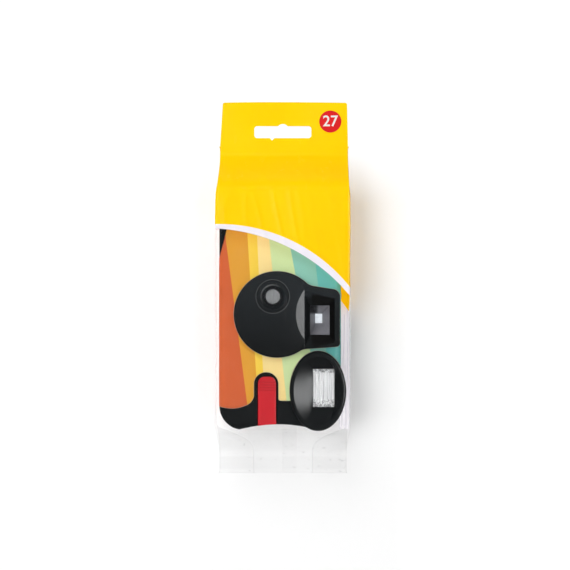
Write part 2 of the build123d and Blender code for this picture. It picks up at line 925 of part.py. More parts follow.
def flash_switch():
    """The sliding flash switch with finger ridges, its stem and its snap head."""
    plate = prism_y(switch_outline(), front_y - pad_height - switch_proud, front_y + switch_recess)
    end_z = low_z + scallop_rise - scallop_radius
    plate = plate - rod_y(scallop_radius, front_y - overrun, front_y + overrun, scallop_x, end_z)
    plate = fillet(plate.faces().sort_by(Axis.Y)[0].edges().sort_by(Axis.Z)[1:], switch_proud / 2)
    face_y = front_y - pad_height - switch_proud
    for index in range(ridge_count):
        z = switch_high_z - switch_corner_radius - index * ridge_pitch
        plate = plate - slab(
            switch_x0 + switch_corner_radius / 2, switch_x1 - switch_corner_radius / 2, face_y - overrun,
            face_y + ridge_depth, z - ridge_width / 2, z + ridge_width / 2,
        )
    middle = (switch_x0 + switch_x1) / 2
    half = switch_stem_width / 2
    head_y = front_y + wall + seat_gap
    stem = slab(
        middle - half, middle + half, front_y, head_y + switch_head_thickness, switch_stem_z,
        switch_stem_z + switch_stem_length,
    )
    head = slab(
        middle - half - switch_head_extra, middle + half + switch_head_extra, head_y,
        head_y + switch_head_thickness, switch_stem_z, switch_stem_z + switch_stem_length,
    )
    return plate + stem + head


def switch_contact():
    """The brass leaf on the board that the switch presses on."""
    middle = (switch_x0 + switch_x1) / 2
    half = switch_stem_width / 2
    return slab(
        middle - half, middle + half, board_y - sheet, board_y, switch_stem_z,
        switch_stem_z + switch_stem_length,
    )


def sync_contact():
    """The leaf beside the shutter that fires the flash."""
    x = lens_x - blade_radius - leaf_gap
    return slab(
        x - leaf_width, x, plate_y - sheet, plate_y, lens_z - leaf_length / 2, lens_z + leaf_length / 2,
    )


def flash_board():
    """The flash circuit board."""
    face = rounded(corners(board_x0, board_x1, board_z0, board_z1), [board_corner, board_corner / 3] * 2)
    return prism_y(face, board_y, board_y + board_thickness)


def flash_capacitor():
    """The big flash capacitor, with the groove near its end."""
    x1 = capacitor_x0 + capacitor_length
    can = rod_x(capacitor_radius, capacitor_x0, x1, capacitor_y, capacitor_z)
    groove_x = x1 - capacitor_radius / 2
    ring = rod_x(
        capacitor_radius + overrun, groove_x - capacitor_groove, groove_x + capacitor_groove, capacitor_y,
        capacitor_z,
    )
    ring = ring - rod_x(
        capacitor_radius - capacitor_groove, groove_x - overrun, groove_x + overrun, capacitor_y,
        capacitor_z,
    )
    return can - ring


def transformer():
    """The step-up transformer on the board."""
    y0 = board_y + board_thickness
    y1 = y0 + transformer_height
    z1 = transformer_z0 + transformer_length
    block = slab(transformer_x0, transformer_x0 + transformer_width, y0, y1, transformer_z0, z1)
    waist = transformer_width / 6
    for x0, x1 in (
        (transformer_x0 - overrun, transformer_x0 + waist),
        (transformer_x0 + transformer_width - waist, transformer_x0 + transformer_width + overrun),
    ):
        block = block - slab(x0, x1, y0 + waist, y1 - waist, transformer_z0 + waist, z1 - waist)
    return block


def trigger_coil():
    """The trigger coil on the back of the board."""
    y = board_y + board_thickness + trigger_radius + trigger_flange
    coil = rod_x(trigger_radius, trigger_x0, trigger_x0 + trigger_length, y, trigger_z)
    for x in (trigger_x0, trigger_x0 + trigger_length):
        coil = coil + rod_x(
            trigger_radius + trigger_flange, x - trigger_flange, x + trigger_flange, y, trigger_z,
        )
    return coil


def transistor():
    """The switching transistor on the front of the board."""
    x0 = board_x0 + board_corner
    z0 = board_z0 + board_corner * 2
    body = slab(x0, x0 + transistor_width, board_y - board_thickness, board_y, z0, z0 + transistor_length)
    return body


def resistors():
    """Three small resistors on the front of the board."""
    x0 = board_x0 + board_corner * 3
    group = None
    for index in range(3):
        z = board_z1 - board_corner - index * resistor_pitch
        one = rod_x(resistor_radius, x0 - resistor_length, x0, board_y - resistor_radius, z)
        group = one if group is None else group + one
    return group


def film_end_z():
    """Where the film enters the can."""
    return cartridge_z - math.sqrt(cartridge_radius**2 - (film_y - cartridge_y) ** 2) - loose_gap


def cartridge_shell():
    """The film can with its light-trap lip."""
    x1 = cartridge_x0 + cartridge_length
    can = rod_x(
        cartridge_radius, cartridge_x0 + cap_thickness, x1 - cap_thickness, cartridge_y, cartridge_z,
    )
    lip_z = cartridge_z - cartridge_radius + lip_length / 2
    lip = slab(
        film_x0 - lip_height, film_x1 + lip_height, film_y - lip_height,
        film_y + film_thickness + lip_height, lip_z - lip_length / 2, cartridge_z,
    )
    can = can + lip
    can = can - rod_x(
        cartridge_radius - cartridge_wall, cartridge_x0 - overrun, x1 + overrun, cartridge_y, cartridge_z,
    )
    slit = slab(
        film_x0 - seat_gap, film_x1 + seat_gap, film_y - seat_gap, film_y + film_thickness + seat_gap,
        lip_z - overrun, film_end_z() + seat_gap,
    )
    return can - slit


def cartridge_caps():
    """The two pressed end caps of the film can."""
    x1 = cartridge_x0 + cartridge_length
    caps = rod_x(cartridge_radius, cartridge_x0, cartridge_x0 + cap_thickness, cartridge_y, cartridge_z)
    caps = caps + rod_x(cartridge_radius, x1 - cap_thickness, x1, cartridge_y, cartridge_z)
    return caps - rod_x(
        spool_key_radius + running_gap, cartridge_x0 - overrun, x1 + overrun, cartridge_y, cartridge_z,
    )


def cartridge_spool():
    """The spool in the film can, that the advance wheel turns."""
    x1 = cartridge_x0 + cartridge_length
    inner0 = cartridge_x0 + cap_thickness + seat_gap
    inner1 = x1 - cap_thickness - seat_gap
    spool = rod_x(spool_radius, inner0, inner1, cartridge_y, cartridge_z)
    spool = spool + rod_x(spool_key_radius, cartridge_x0, x1, cartridge_y, cartridge_z)
    key = slab(
        x1 - key_depth, x1 + overrun, cartridge_y - key_width / 2, cartridge_y + key_width / 2,
        cartridge_z - spool_key_radius / 2, cartridge_z + spool_key_radius / 2,
    )
    return spool - key


def film_strip():
    """The film between the can and the roll, with its two rows of perforations."""
    high = film_end_z()
    strip = slab(film_x0, film_x1, film_y, film_y + film_thickness, roll_z, high)
    holes = int((high - roll_z) / perforation_pitch) - 1
    punches = []
    for index in range(holes):
        z = roll_z + (index + 1) * perforation_pitch
        for x in (film_x0 + perforation_edge, film_x1 - perforation_edge - perforation_height):
            punches.append(
                slab(
                    x, x + perforation_height, film_y - overrun, film_y + overrun, z, z + perforation_width,
                ),
            )
    for punch in punches:
        strip = strip - punch
    return strip


def film_roll():
    """The film wound on its core."""
    roll = rod_x(roll_radius, film_x0, film_x1, roll_y, roll_z)
    return roll - rod_x(core_radius, film_x0 - overrun, film_x1 + overrun, roll_y, roll_z)


def film_core():
    """The core of the film roll, on two short pins."""
    core = rod_x(core_radius, film_x0, film_x1, roll_y, roll_z)
    pins = rod_x(core_pin_radius, film_x0 - core_pin_length, film_x1 + core_pin_length, roll_y, roll_z)
    return core + pins


def advance_wheel():
    """The notched thumb wheel with its hub."""
    x0 = deck_x + deck_thickness + deck_gap
    wheel = rod_x(wheel_radius, x0, x0 + wheel_thickness, cartridge_y, cartridge_z)
    notches = []
    for index in range(wheel_notch_count):
        angle = 2 * math.pi * index / wheel_notch_count
        y = cartridge_y + wheel_radius * math.cos(angle)
        z = cartridge_z + wheel_radius * math.sin(angle)
        notches.append(rod_x(wheel_notch_radius, x0 - overrun, x0 + wheel_thickness + overrun, y, z))
    wheel = wheel - notches
    spool_end = cartridge_x0 + cartridge_length
    return wheel + rod_x(wheel_hub_radius, spool_end + seat_gap, x0, cartridge_y, cartridge_z)


def sprocket_shaft():
    """The toothed wheel that the film turns, with its shaft and counter cam."""
    x1 = film_x1 - perforation_edge
    x0 = x1 - sprocket_thickness
    wheel = rod_x(sprocket_radius, x0, x1, sprocket_y, sprocket_z)
    for index in range(sprocket_tooth_count):
        angle = 360 * index / sprocket_tooth_count
        tooth = slab(
            x0 + sprocket_tooth / 2, x1 - sprocket_tooth / 2, 0, sprocket_radius + sprocket_tooth,
            -sprocket_tooth / 2, sprocket_tooth / 2,
        )
        wheel = wheel + Pos(0, sprocket_y, sprocket_z) * Rot(angle, 0, 0) * tooth
    cam_x0 = deck_x + deck_thickness + deck_gap
    shaft = rod_x(shaft_radius, x0 - shaft_foot, cam_x0 + cam_thickness, sprocket_y, sprocket_z)
    cam = rod_x(cam_radius, cam_x0, cam_x0 + cam_thickness, sprocket_y, sprocket_z)
    finger = slab(
        cam_x0, cam_x0 + cam_thickness, sprocket_y, sprocket_y + cam_radius + cam_finger,
        sprocket_z - cam_finger / 2, sprocket_z + cam_finger / 2,
    )
    return wheel + shaft + cam + finger


def frame_counter():
    """The toothed counter dial on its hub."""
    dial = rod_x(counter_radius, counter_x, counter_x + counter_thickness, counter_y, counter_z)
    for index in range(counter_tooth_count):
        angle = 360 * index / counter_tooth_count
        tooth = slab(
            counter_x, counter_x + counter_thickness, 0, counter_radius + counter_tooth, -counter_tooth / 2,
            counter_tooth / 2,
        )
        dial = dial + Pos(0, counter_y, counter_z) * Rot(angle, 0, 0) * tooth
    dial = dial + rod_x(
        counter_hub_radius, deck_x + deck_thickness + seat_gap, counter_x, counter_y, counter_z,
    )
    return dial - rod_x(
        counter_pin_radius + running_gap, deck_x - overrun, counter_x + overrun, counter_y, counter_z,
    )


def wheel_pawl():
    """The leaf that stops the wheel from turning back."""
    x0 = deck_x + deck_thickness
    x1 = x0 + deck_gap + wheel_thickness
    top_z = cartridge_z - wheel_radius - pawl_gap
    leaf = slab(
        x0 + deck_gap, x1, cartridge_y - pawl_length, cartridge_y + pawl_foot, top_z - pawl_thickness,
        top_z,
    )
    foot = slab(x0, x1, cartridge_y + pawl_foot, cartridge_y + pawl_foot * 2, top_z - pawl_foot, top_z)
    return leaf + foot


def battery():
    """The AA cell, with its raised button."""
    high = battery_low_z + battery_length - battery_button_height
    cell = rod_z(battery_radius, battery_low_z, high, battery_x, battery_y)
    return cell + rod_z(battery_button_radius, high, high + battery_button_height, battery_x, battery_y)


def battery_contact(z0):
    """One flat contact leaf at an end of the cell."""
    half = battery_radius * 2 / 3
    return slab(
        battery_x - half, battery_x + half, battery_y - half, battery_y + half, z0, z0 + contact_thickness,
    )


def battery_contact_minus():
    """The contact under the flat end of the cell."""
    return battery_contact(battery_low_z - contact_thickness)


def battery_contact_plus():
    """The contact over the button of the cell."""
    return battery_contact(battery_low_z + battery_length)


def keepouts():
    """The spaces that the chassis leaves for everything it holds."""
    cartridge_x1 = cartridge_x0 + cartridge_length
    sprocket_x1 = film_x1 - perforation_edge
    return [
        rod_x(
            cartridge_radius + loose_gap, cartridge_x0 - overrun, cartridge_x1 + seat_gap, cartridge_y,
            cartridge_z,
        ),
        rod_x(roll_radius + loose_gap, film_x0 - loose_gap, film_x1 + loose_gap, roll_y, roll_z),
        slab(
            film_x0 - loose_gap, film_x1 + loose_gap, roll_y, back_y, roll_z - roll_radius - loose_gap,
            roll_z + roll_radius,
        ),
        rod_x(core_pin_radius + running_gap, film_x0 - overrun, film_x1 + overrun, roll_y, roll_z),
        rod_x(
            sprocket_radius + sprocket_tooth + loose_gap, sprocket_x1 - sprocket_thickness - loose_gap,
            sprocket_x1 + loose_gap, sprocket_y, sprocket_z,
        ),
        rod_x(
            shaft_radius + running_gap, sprocket_x1 - sprocket_thickness - shaft_foot - loose_gap, top_x,
            sprocket_y, sprocket_z,
        ),
        rod_x(wheel_hub_radius + running_gap, cartridge_x1 - seat_gap, top_x, cartridge_y, cartridge_z),
        rod_z(
            battery_radius + loose_gap, battery_low_z - contact_thickness,
            battery_low_z + battery_length + contact_thickness, battery_x, battery_y,
        ),
        slab(
            battery_x - battery_radius, battery_x + battery_radius, front_y, battery_y,
            battery_low_z - contact_thickness, battery_low_z + battery_length + contact_thickness,
        ),
        rod_x(
            capacitor_radius + loose_gap / 2, capacitor_x0 - seat_gap,
            capacitor_x0 + capacitor_length + seat_gap, capacitor_y, capacitor_z,
        ),
        slab(
            finder_x0 - finder_grow, finder_x1 + finder_grow, front_y, back_y, finder_z0 - finder_grow,
            finder_z1 + finder_grow,
        ),
        slab(film_x0 - loose_gap, film_x1 + loose_gap, film_y - seat_gap, back_y, roll_z, cartridge_z),
        slab(
            transformer_x0 - seat_gap, transformer_x0 + transformer_width + seat_gap, board_y,
            board_y + board_thickness + transformer_height + seat_gap, transformer_z0 - overrun,
            transformer_z0 + transformer_length + seat_gap,
        ),
        rod_z(
            tube_radius + loose_gap, flash_z0 - tube_overhang - seat_gap,
            flash_z1 + tube_overhang + seat_gap, tube_x, tube_y,
        ),
        rod_x(
            lamp_radius + seat_gap, top_x - wall - pipe_drop - lamp_length - seat_gap, top_x, lamp_y,
            lamp_z,
        ),
        rod_x(
            stem_radius + seat_gap, lever_top_x + button_stem_gap - button_travel - seat_gap, top_x,
            stem_y, stem_z,
        ),
    ]


def light_tunnel():
    """The pyramid wall between the aperture and the film gate."""
    front = plate_y + plate_thickness / 2
    back = film_y - seat_gap * 2 - gate_thickness / 2
    solids = []
    for grow in (tunnel_wall, 0):
        start = Plane.XZ.offset(-front) * (
            Pos(lens_x, lens_z) * Rectangle(2 * (tunnel_front_half + grow), 2 * (tunnel_front_half + grow))
        )
        end = Plane.XZ.offset(-back) * (
            Pos(lens_x, lens_z) * Rectangle(frame_height + 2 * grow, frame_width + 2 * grow)
        )
        solids.append(loft([start, end], ruled=True))
    return solids[0], solids[1]


def chassis():
    """The black inner frame that carries the film, the shutter and the flash."""
    deck_back = film_y
    plate_back = plate_y + plate_thickness
    gate_y1 = film_y - seat_gap * 2
    gate_y0 = gate_y1 - gate_thickness
    near_z = cartridge_z - cartridge_radius - loose_gap - chassis_wall
    far_z = roll_z + roll_radius + chamber_wall
    deck_high_z = cartridge_z + cartridge_radius
    chamber_x0 = film_x0 - loose_gap - chamber_wall
    chamber_x1 = film_x1 + loose_gap + chamber_wall
    chamber_radius = roll_radius + loose_gap + chamber_wall
    plate_x0 = battery_x + battery_radius + loose_gap
    top = deck_x + deck_thickness
    outer, inner = light_tunnel()

    frame = slab(deck_x, top, plate_y, deck_back, far_z - chassis_wall, deck_high_z)
    frame = frame + slab(plate_x0, top, plate_y, plate_back, far_z - chassis_wall, near_z)
    frame = frame + slab(rail_x, top, gate_y0, gate_y1, far_z - chassis_wall, near_z)
    frame = frame + slab(
        rail_x, rail_x + chassis_wall, battery_y + battery_radius + loose_gap, gate_y1,
        far_z - chassis_wall, near_z,
    )
    frame = frame + slab(plate_x0, top, plate_y, gate_y1, near_z - chassis_wall, near_z)
    frame = frame + slab(
        rail_x, top, battery_y + battery_radius + loose_gap, gate_y1, near_z - chassis_wall, near_z,
    )
    frame = frame + slab(plate_x0, top, plate_y, gate_y1, far_z - chassis_wall, far_z)
    frame = frame + outer
    finder = slab(
        finder_x0 - finder_grow - finder_wall, finder_x1 + finder_grow + finder_wall, finder_front_y,
        finder_back_y, finder_z0 - finder_grow - finder_wall, finder_z1 + finder_grow + finder_wall,
    )
    frame = frame + finder
    chamber = rod_x(chamber_radius, chamber_x0, chamber_x1, roll_y, roll_z)
    chamber = chamber & slab(chamber_x0 - overrun, chamber_x1 + overrun, front_y, gate_y1, low_z, high_z)
    frame = frame + chamber
    frame = frame + cradle(chamber_x0)
    frame = frame + flash_seat(chamber_x1)
    frame = frame + battery_cradle()
    frame = frame + slab(
        sprocket_bracket_x - chassis_wall, sprocket_bracket_x, sprocket_y - shaft_radius * 2, gate_y1,
        sprocket_z - shaft_radius * 2, near_z,
    )
    frame = frame + board_posts(roll_z)
    frame = frame - inner
    frame = frame - slab(
        lens_x - frame_height / 2, lens_x + frame_height / 2, gate_y0 - chassis_wall, gate_y1 + overrun,
        lens_z - frame_width / 2, lens_z + frame_width / 2,
    )
    frame = frame - rod_y(aperture_radius, plate_y - overrun, plate_back + overrun, lens_x, lens_z)
    for space in keepouts():
        frame = frame - space
    frame = frame + rod_y(
        lever_post_radius, lever_y, plate_y + plate_thickness, lever_pivot_x, lever_pivot_z,
    )
    frame = frame + rod_y(
        blade_pin_radius, blade_y - seat_gap, plate_y + plate_thickness, blade_pivot_x, blade_pivot_z,
    )
    frame = frame + rod_x(
        counter_pin_radius, top - deck_thickness, counter_x + counter_thickness, counter_y, counter_z,
    )
    return frame & body_block(wall + seat_gap)


def cradle(chamber_x0):
    """The trough that holds the capacitor."""
    x0 = capacitor_x0 - seat_gap - chassis_wall
    x1 = capacitor_x0 + capacitor_length + seat_gap
    rail_y = capacitor_y + capacitor_radius * cradle_share
    trough = slab(
        x0, x1, rail_y, capacitor_y + capacitor_radius + chassis_wall, capacitor_z - capacitor_radius,
        roll_z - roll_radius * cradle_share,
    )
    end = slab(
        x0, x0 + chassis_wall, capacitor_y - capacitor_radius / 2,
        capacitor_y + capacitor_radius + chassis_wall, capacitor_z - capacitor_radius / 2,
        capacitor_z + capacitor_radius,
    )
    link = slab(
        chamber_x0, chamber_x0 + chassis_wall, rail_y, roll_y + roll_radius / 2, capacitor_z, roll_z,
    )
    return trough + end + link


def flash_seat(chamber_x1):
    """The plate behind the flash reflector."""
    y0 = front_y - window_sink + window_thickness + seat_gap + reflector_depth + seat_gap
    plate = slab(chamber_x1 - chamber_wall, flash_x1, y0, y0 + chassis_wall, flash_z0, flash_z1)
    arm = slab(
        chamber_x1 - chamber_wall, chamber_x1 + chassis_wall, y0, roll_y, roll_z - roll_radius / 2,
        roll_z + roll_radius / 2,
    )
    post = slab(
        lamp_post_x0, lamp_post_x0 + chassis_wall, y0, lamp_y + lamp_radius * 2, flash_z1 - chassis_wall,
        lamp_z + lamp_radius * 2,
    )
    return plate + arm + post


def battery_cradle():
    """The half round cradle behind the battery, with its end walls."""
    outer = battery_radius + loose_gap + chassis_wall
    low = battery_low_z - contact_thickness - chassis_wall
    high = battery_low_z + battery_length + contact_thickness + chassis_wall
    cradle_wall = rod_z(outer, low, high, battery_x, battery_y)
    return cradle_wall & slab(base_x, battery_x + outer, battery_y, battery_y + outer, low, high)


def board_posts(z):
    """The posts that carry the flash board in front of the film roll."""
    posts = None
    for x in (board_x0 + board_corner * 2, board_x1 - board_corner):
        post = rod_y(post_radius, board_y + board_thickness, roll_y, x, z)
        posts = post if posts is None else posts + post
    return posts


def sleeve_form(inset):
    """The pouch's sleeve as a solid block, drawn in by an inset."""
    face = rounded(
        corners(
            -pouch_half_width + inset, pouch_half_width - inset, pouch_front_y + inset,
            pouch_back_y - inset,
        ),
        [pouch_corner - inset] * 4,
    )
    return face


def tent(z_wide, z_flat, x0, x1, inset):
    """One end of the pouch, closing from the sleeve to a flat weld."""
    wide = Plane.XY.offset(z_wide) * sleeve_form(inset)
    half = header_half_thickness - inset
    flat = Plane.XY.offset(z_flat) * rounded(corners(x0 + inset, x1 - inset, -half, half), [half / 2] * 4)
    return loft([wide, flat], ruled=True)


def print_edge_side(above):
    """Everything above or below the print's curved edge."""
    reach = pouch_half_width + overrun
    arc = ThreePointArc((-reach, print_left_z), (print_middle_x, print_middle_z), (reach, print_right_z))
    far = header_high_z + camera_length if above else flap_low_z - camera_length
    lines = Polyline((reach, print_right_z), (reach, far), (-reach, far), (-reach, print_left_z))
    return prism_y(make_face([arc, lines]), pouch_front_y - overrun, pouch_back_y + overrun)


def sleeve_tube():
    """The pouch's sleeve."""
    outer = extrude(Plane.XY.offset(sleeve_low_z) * sleeve_form(0), amount=sleeve_high_z - sleeve_low_z)
    inner = extrude(
        Plane.XY.offset(sleeve_low_z - overrun) * sleeve_form(film_wall),
        amount=sleeve_high_z - sleeve_low_z + 2 * overrun,
    )
    return outer - inner


def printed_film():
    """The printed upper film: the closing end of the pouch and the sleeve down to the print's edge."""
    shoulder = tent(sleeve_high_z, header_low_z, header_foot_x0, header_foot_x1, 0)
    shoulder = shoulder - tent(sleeve_high_z, header_low_z, header_foot_x0, header_foot_x1, film_wall)
    return shoulder + (sleeve_tube() & print_edge_side(True))


def clear_film():
    """The clear sleeve below the print."""
    return sleeve_tube() & print_edge_side(False)


def header_panel():
    """The flat welded header with its hang slot."""
    face = rounded(
        [
            (header_foot_x0, header_low_z), (header_x0, header_high_z), (header_x1, header_high_z),
            (header_foot_x1, header_low_z),
        ],
        [header_corner / 4, header_corner, header_corner, header_corner / 4],
    )
    slot = RectangleRounded(slot_width, slot_height, slot_corner)
    slot = slot + Pos(0, slot_height / 2 + slot_bump_rise - slot_bump_radius) * Circle(slot_bump_radius)
    slot = slot + make_face(
        Polyline(
            (slot_nick_x - slot_nick_width, 0), (slot_nick_x - slot_nick_width / 2, -slot_height / 2),
            (slot_nick_x, -slot_height / 2 - slot_nick_depth),
            (slot_nick_x + slot_nick_width / 2, -slot_height / 2), (slot_nick_x + slot_nick_width, 0),
            close=True,
        ),
    )
    return prism_y(face - slot, -header_half_thickness, header_half_thickness)


def bottom_seal():
    """The lower end of the pouch, closing to its welded flap."""
    closing = tent(sleeve_low_z, flap_weld_z, flap_x0, flap_x1, 0)
    closing = closing - tent(sleeve_low_z, flap_weld_z, flap_x0, flap_x1, film_wall)
    flap = slab(flap_x0, flap_x1, -header_half_thickness, header_half_thickness, flap_low_z, flap_weld_z)
    return closing + flap


makers = [
    front_cover, rear_cover, front_label, back_label, film_door, battery_door, shutter_button,
    release_lever, lever_spring, shutter_blade, shutter_spring, lens, lens_ring, viewfinder_lens,
    viewfinder_eyepiece, flash_window, flash_reflector, flash_tube, counter_window, ready_light_pipe,
    ready_lamp, flash_switch, switch_contact, sync_contact, flash_board, flash_capacitor, transformer,
    trigger_coil, transistor, resistors, cartridge_shell, cartridge_caps, cartridge_spool, film_strip,
    film_roll, film_core, advance_wheel, sprocket_shaft, frame_counter, wheel_pawl, battery,
    battery_contact_minus, battery_contact_plus, chassis, printed_film, clear_film, header_panel,
    bottom_seal,
]

os.makedirs("parts", exist_ok=True)
for maker in makers:
    export_step(maker(), f"parts/{maker.__name__}.step")
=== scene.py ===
"""Dresses a single-use film camera that hangs on end in its printed film pouch.

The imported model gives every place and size. Lengths in this file are millimetres, turned into
metres where a mesh or a lamp takes them.
"""
from __future__ import annotations

import json
import logging
import math
from collections.abc import Callable, Sequence
from dataclasses import dataclass
from enum import Enum

import bmesh
import bpy
from mathutils import Matrix, Vector, noise

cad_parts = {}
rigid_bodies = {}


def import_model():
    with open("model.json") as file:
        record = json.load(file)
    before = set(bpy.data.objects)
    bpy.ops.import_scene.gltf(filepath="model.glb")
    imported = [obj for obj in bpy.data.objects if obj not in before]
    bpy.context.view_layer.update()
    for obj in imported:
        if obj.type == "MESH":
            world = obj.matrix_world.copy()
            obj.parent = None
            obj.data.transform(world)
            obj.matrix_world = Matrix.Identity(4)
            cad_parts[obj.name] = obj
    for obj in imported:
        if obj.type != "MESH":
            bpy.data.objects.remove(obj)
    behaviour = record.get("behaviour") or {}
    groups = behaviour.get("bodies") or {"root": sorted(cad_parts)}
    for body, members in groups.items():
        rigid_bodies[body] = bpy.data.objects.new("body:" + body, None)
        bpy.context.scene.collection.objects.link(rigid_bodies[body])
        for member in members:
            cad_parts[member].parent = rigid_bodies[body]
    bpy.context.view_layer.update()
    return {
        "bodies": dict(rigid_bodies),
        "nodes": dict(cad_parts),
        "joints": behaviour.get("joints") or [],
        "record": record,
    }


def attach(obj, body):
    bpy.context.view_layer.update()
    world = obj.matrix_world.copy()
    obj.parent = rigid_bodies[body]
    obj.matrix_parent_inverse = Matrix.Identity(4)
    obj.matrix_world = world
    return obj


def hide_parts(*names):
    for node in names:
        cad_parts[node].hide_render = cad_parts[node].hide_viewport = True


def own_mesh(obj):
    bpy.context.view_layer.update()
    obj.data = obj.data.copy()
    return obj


LOG = logging.getLogger("camera")
MM = 0.001
# How bright the studio's light makes a front face: a colour read off a print is divided by it
STUDIO_LIGHT = 1.07
FIGURE_THICKNESS = 0.015
FIGURE_BOLDNESS = 0.012
Colour = tuple[float, float, float]
Point = tuple[float, float, float]


def from_print(red: int, green: int, blue: int) -> Colour:
    """Turns a colour, as it shows in the studio's light, into the linear one that a shader takes.

    Args:
        red: Red share of the colour, from 0 to 255.
        green: Green share of the colour.
        blue: Blue share of the colour.

    Returns:
        The linear colour.
    """
    linear = []
    for part in (red, green, blue):
        share = part / 255
        # The sRGB curve, undone
        straight = share / 12.92 if share <= 0.04045 else ((share + 0.055) / 1.055) ** 2.4
        linear.append(straight / STUDIO_LIGHT)
    return (linear[0], linear[1], linear[2])


def circle_through(first: tuple[float, float], middle: tuple[float, float],
                   last: tuple[float, float]) -> tuple[float, float, float]:
    """Finds the circle through three points.

    Args:
        first: One point on the circle.
        middle: Another point on it.
        last: The third point.

    Returns:
        The two coordinates of its centre, and its radius.
    """
    (ax, ay), (bx, by), (cx, cy) = first, middle, last
    double = 2 * (ax * (by - cy) + bx * (cy - ay) + cx * (ay - by))
    a2, b2, c2 = ax * ax + ay * ay, bx * bx + by * by, cx * cx + cy * cy
    x = (a2 * (by - cy) + b2 * (cy - ay) + c2 * (ay - by)) / double
    y = (a2 * (cx - bx) + b2 * (ax - cx) + c2 * (bx - ax)) / double
    return x, y, math.hypot(ax - x, ay - y)


class Slot(Enum):
    """The record's finishes, by name; no piece in this script takes its finish from them."""

    LABEL = "label_print"
    CLEAR = "clear_plastic"
    DARK = "dark_plastic"
    DIAL = "dial_white"
    PRINT = "print_yellow"
    FILM = "clear_film"
    RED = "switch_red"


class LampUse(Enum):
    """The surfaces that a lamp shows on."""

    MATT = "matt"
    GLOSSY = "glossy"


class Value:
    """A number socket of a material, which takes part in arithmetic."""

    def __init__(self, recipe: Recipe, socket: bpy.types.NodeSocket) -> None:
        """Keeps the socket and the material that it belongs to."""
        self.recipe = recipe
        self.socket = socket

    def _join(self, operation: str, *values: Value | float) -> Value:
        """Adds one Math node.

        Args:
            operation: The node's operation.
            values: What its inputs take, in order.

        Returns:
            The node's result.
        """
        inputs = dict(enumerate(values))
        node = self.recipe.add("ShaderNodeMath", {"operation": operation}, inputs)
        return Value(self.recipe, node.outputs[0])

    def __add__(self, other: Value | float) -> Value:
        """This value plus another."""
        return self._join("ADD", self, other)

    def __radd__(self, other: float) -> Value:
        """A number plus this value."""
        return self._join("ADD", other, self)

    def __sub__(self, other: Value | float) -> Value:
        """This value less another."""
        return self._join("SUBTRACT", self, other)

    def __rsub__(self, other: float) -> Value:
        """A number less this value."""
        return self._join("SUBTRACT", other, self)

    def __mul__(self, other: Value | float) -> Value:
        """This value times another."""
        return self._join("MULTIPLY", self, other)

    def __rmul__(self, other: float) -> Value:
        """A number times this value."""
        return self._join("MULTIPLY", other, self)

    def __truediv__(self, other: Value | float) -> Value:
        """This value over another."""
        return self._join("DIVIDE", self, other)

    def size(self) -> Value:
        """This value without its sign."""
        return self._join("ABSOLUTE", self)

    def root(self) -> Value:
        """The square root of this value."""
        return self._join("SQRT", self)

    def wave(self) -> Value:
        """The sine of this value."""
        return self._join("SINE", self)

    def held(self) -> Value:
        """This value kept between 0 and 1."""
        return self._join("MINIMUM", self._join("MAXIMUM", self, 0.0), 1.0)

    def highest(self, other: Value | float) -> Value:
        """The larger of this value and another."""
        return self._join("MAXIMUM", self, other)


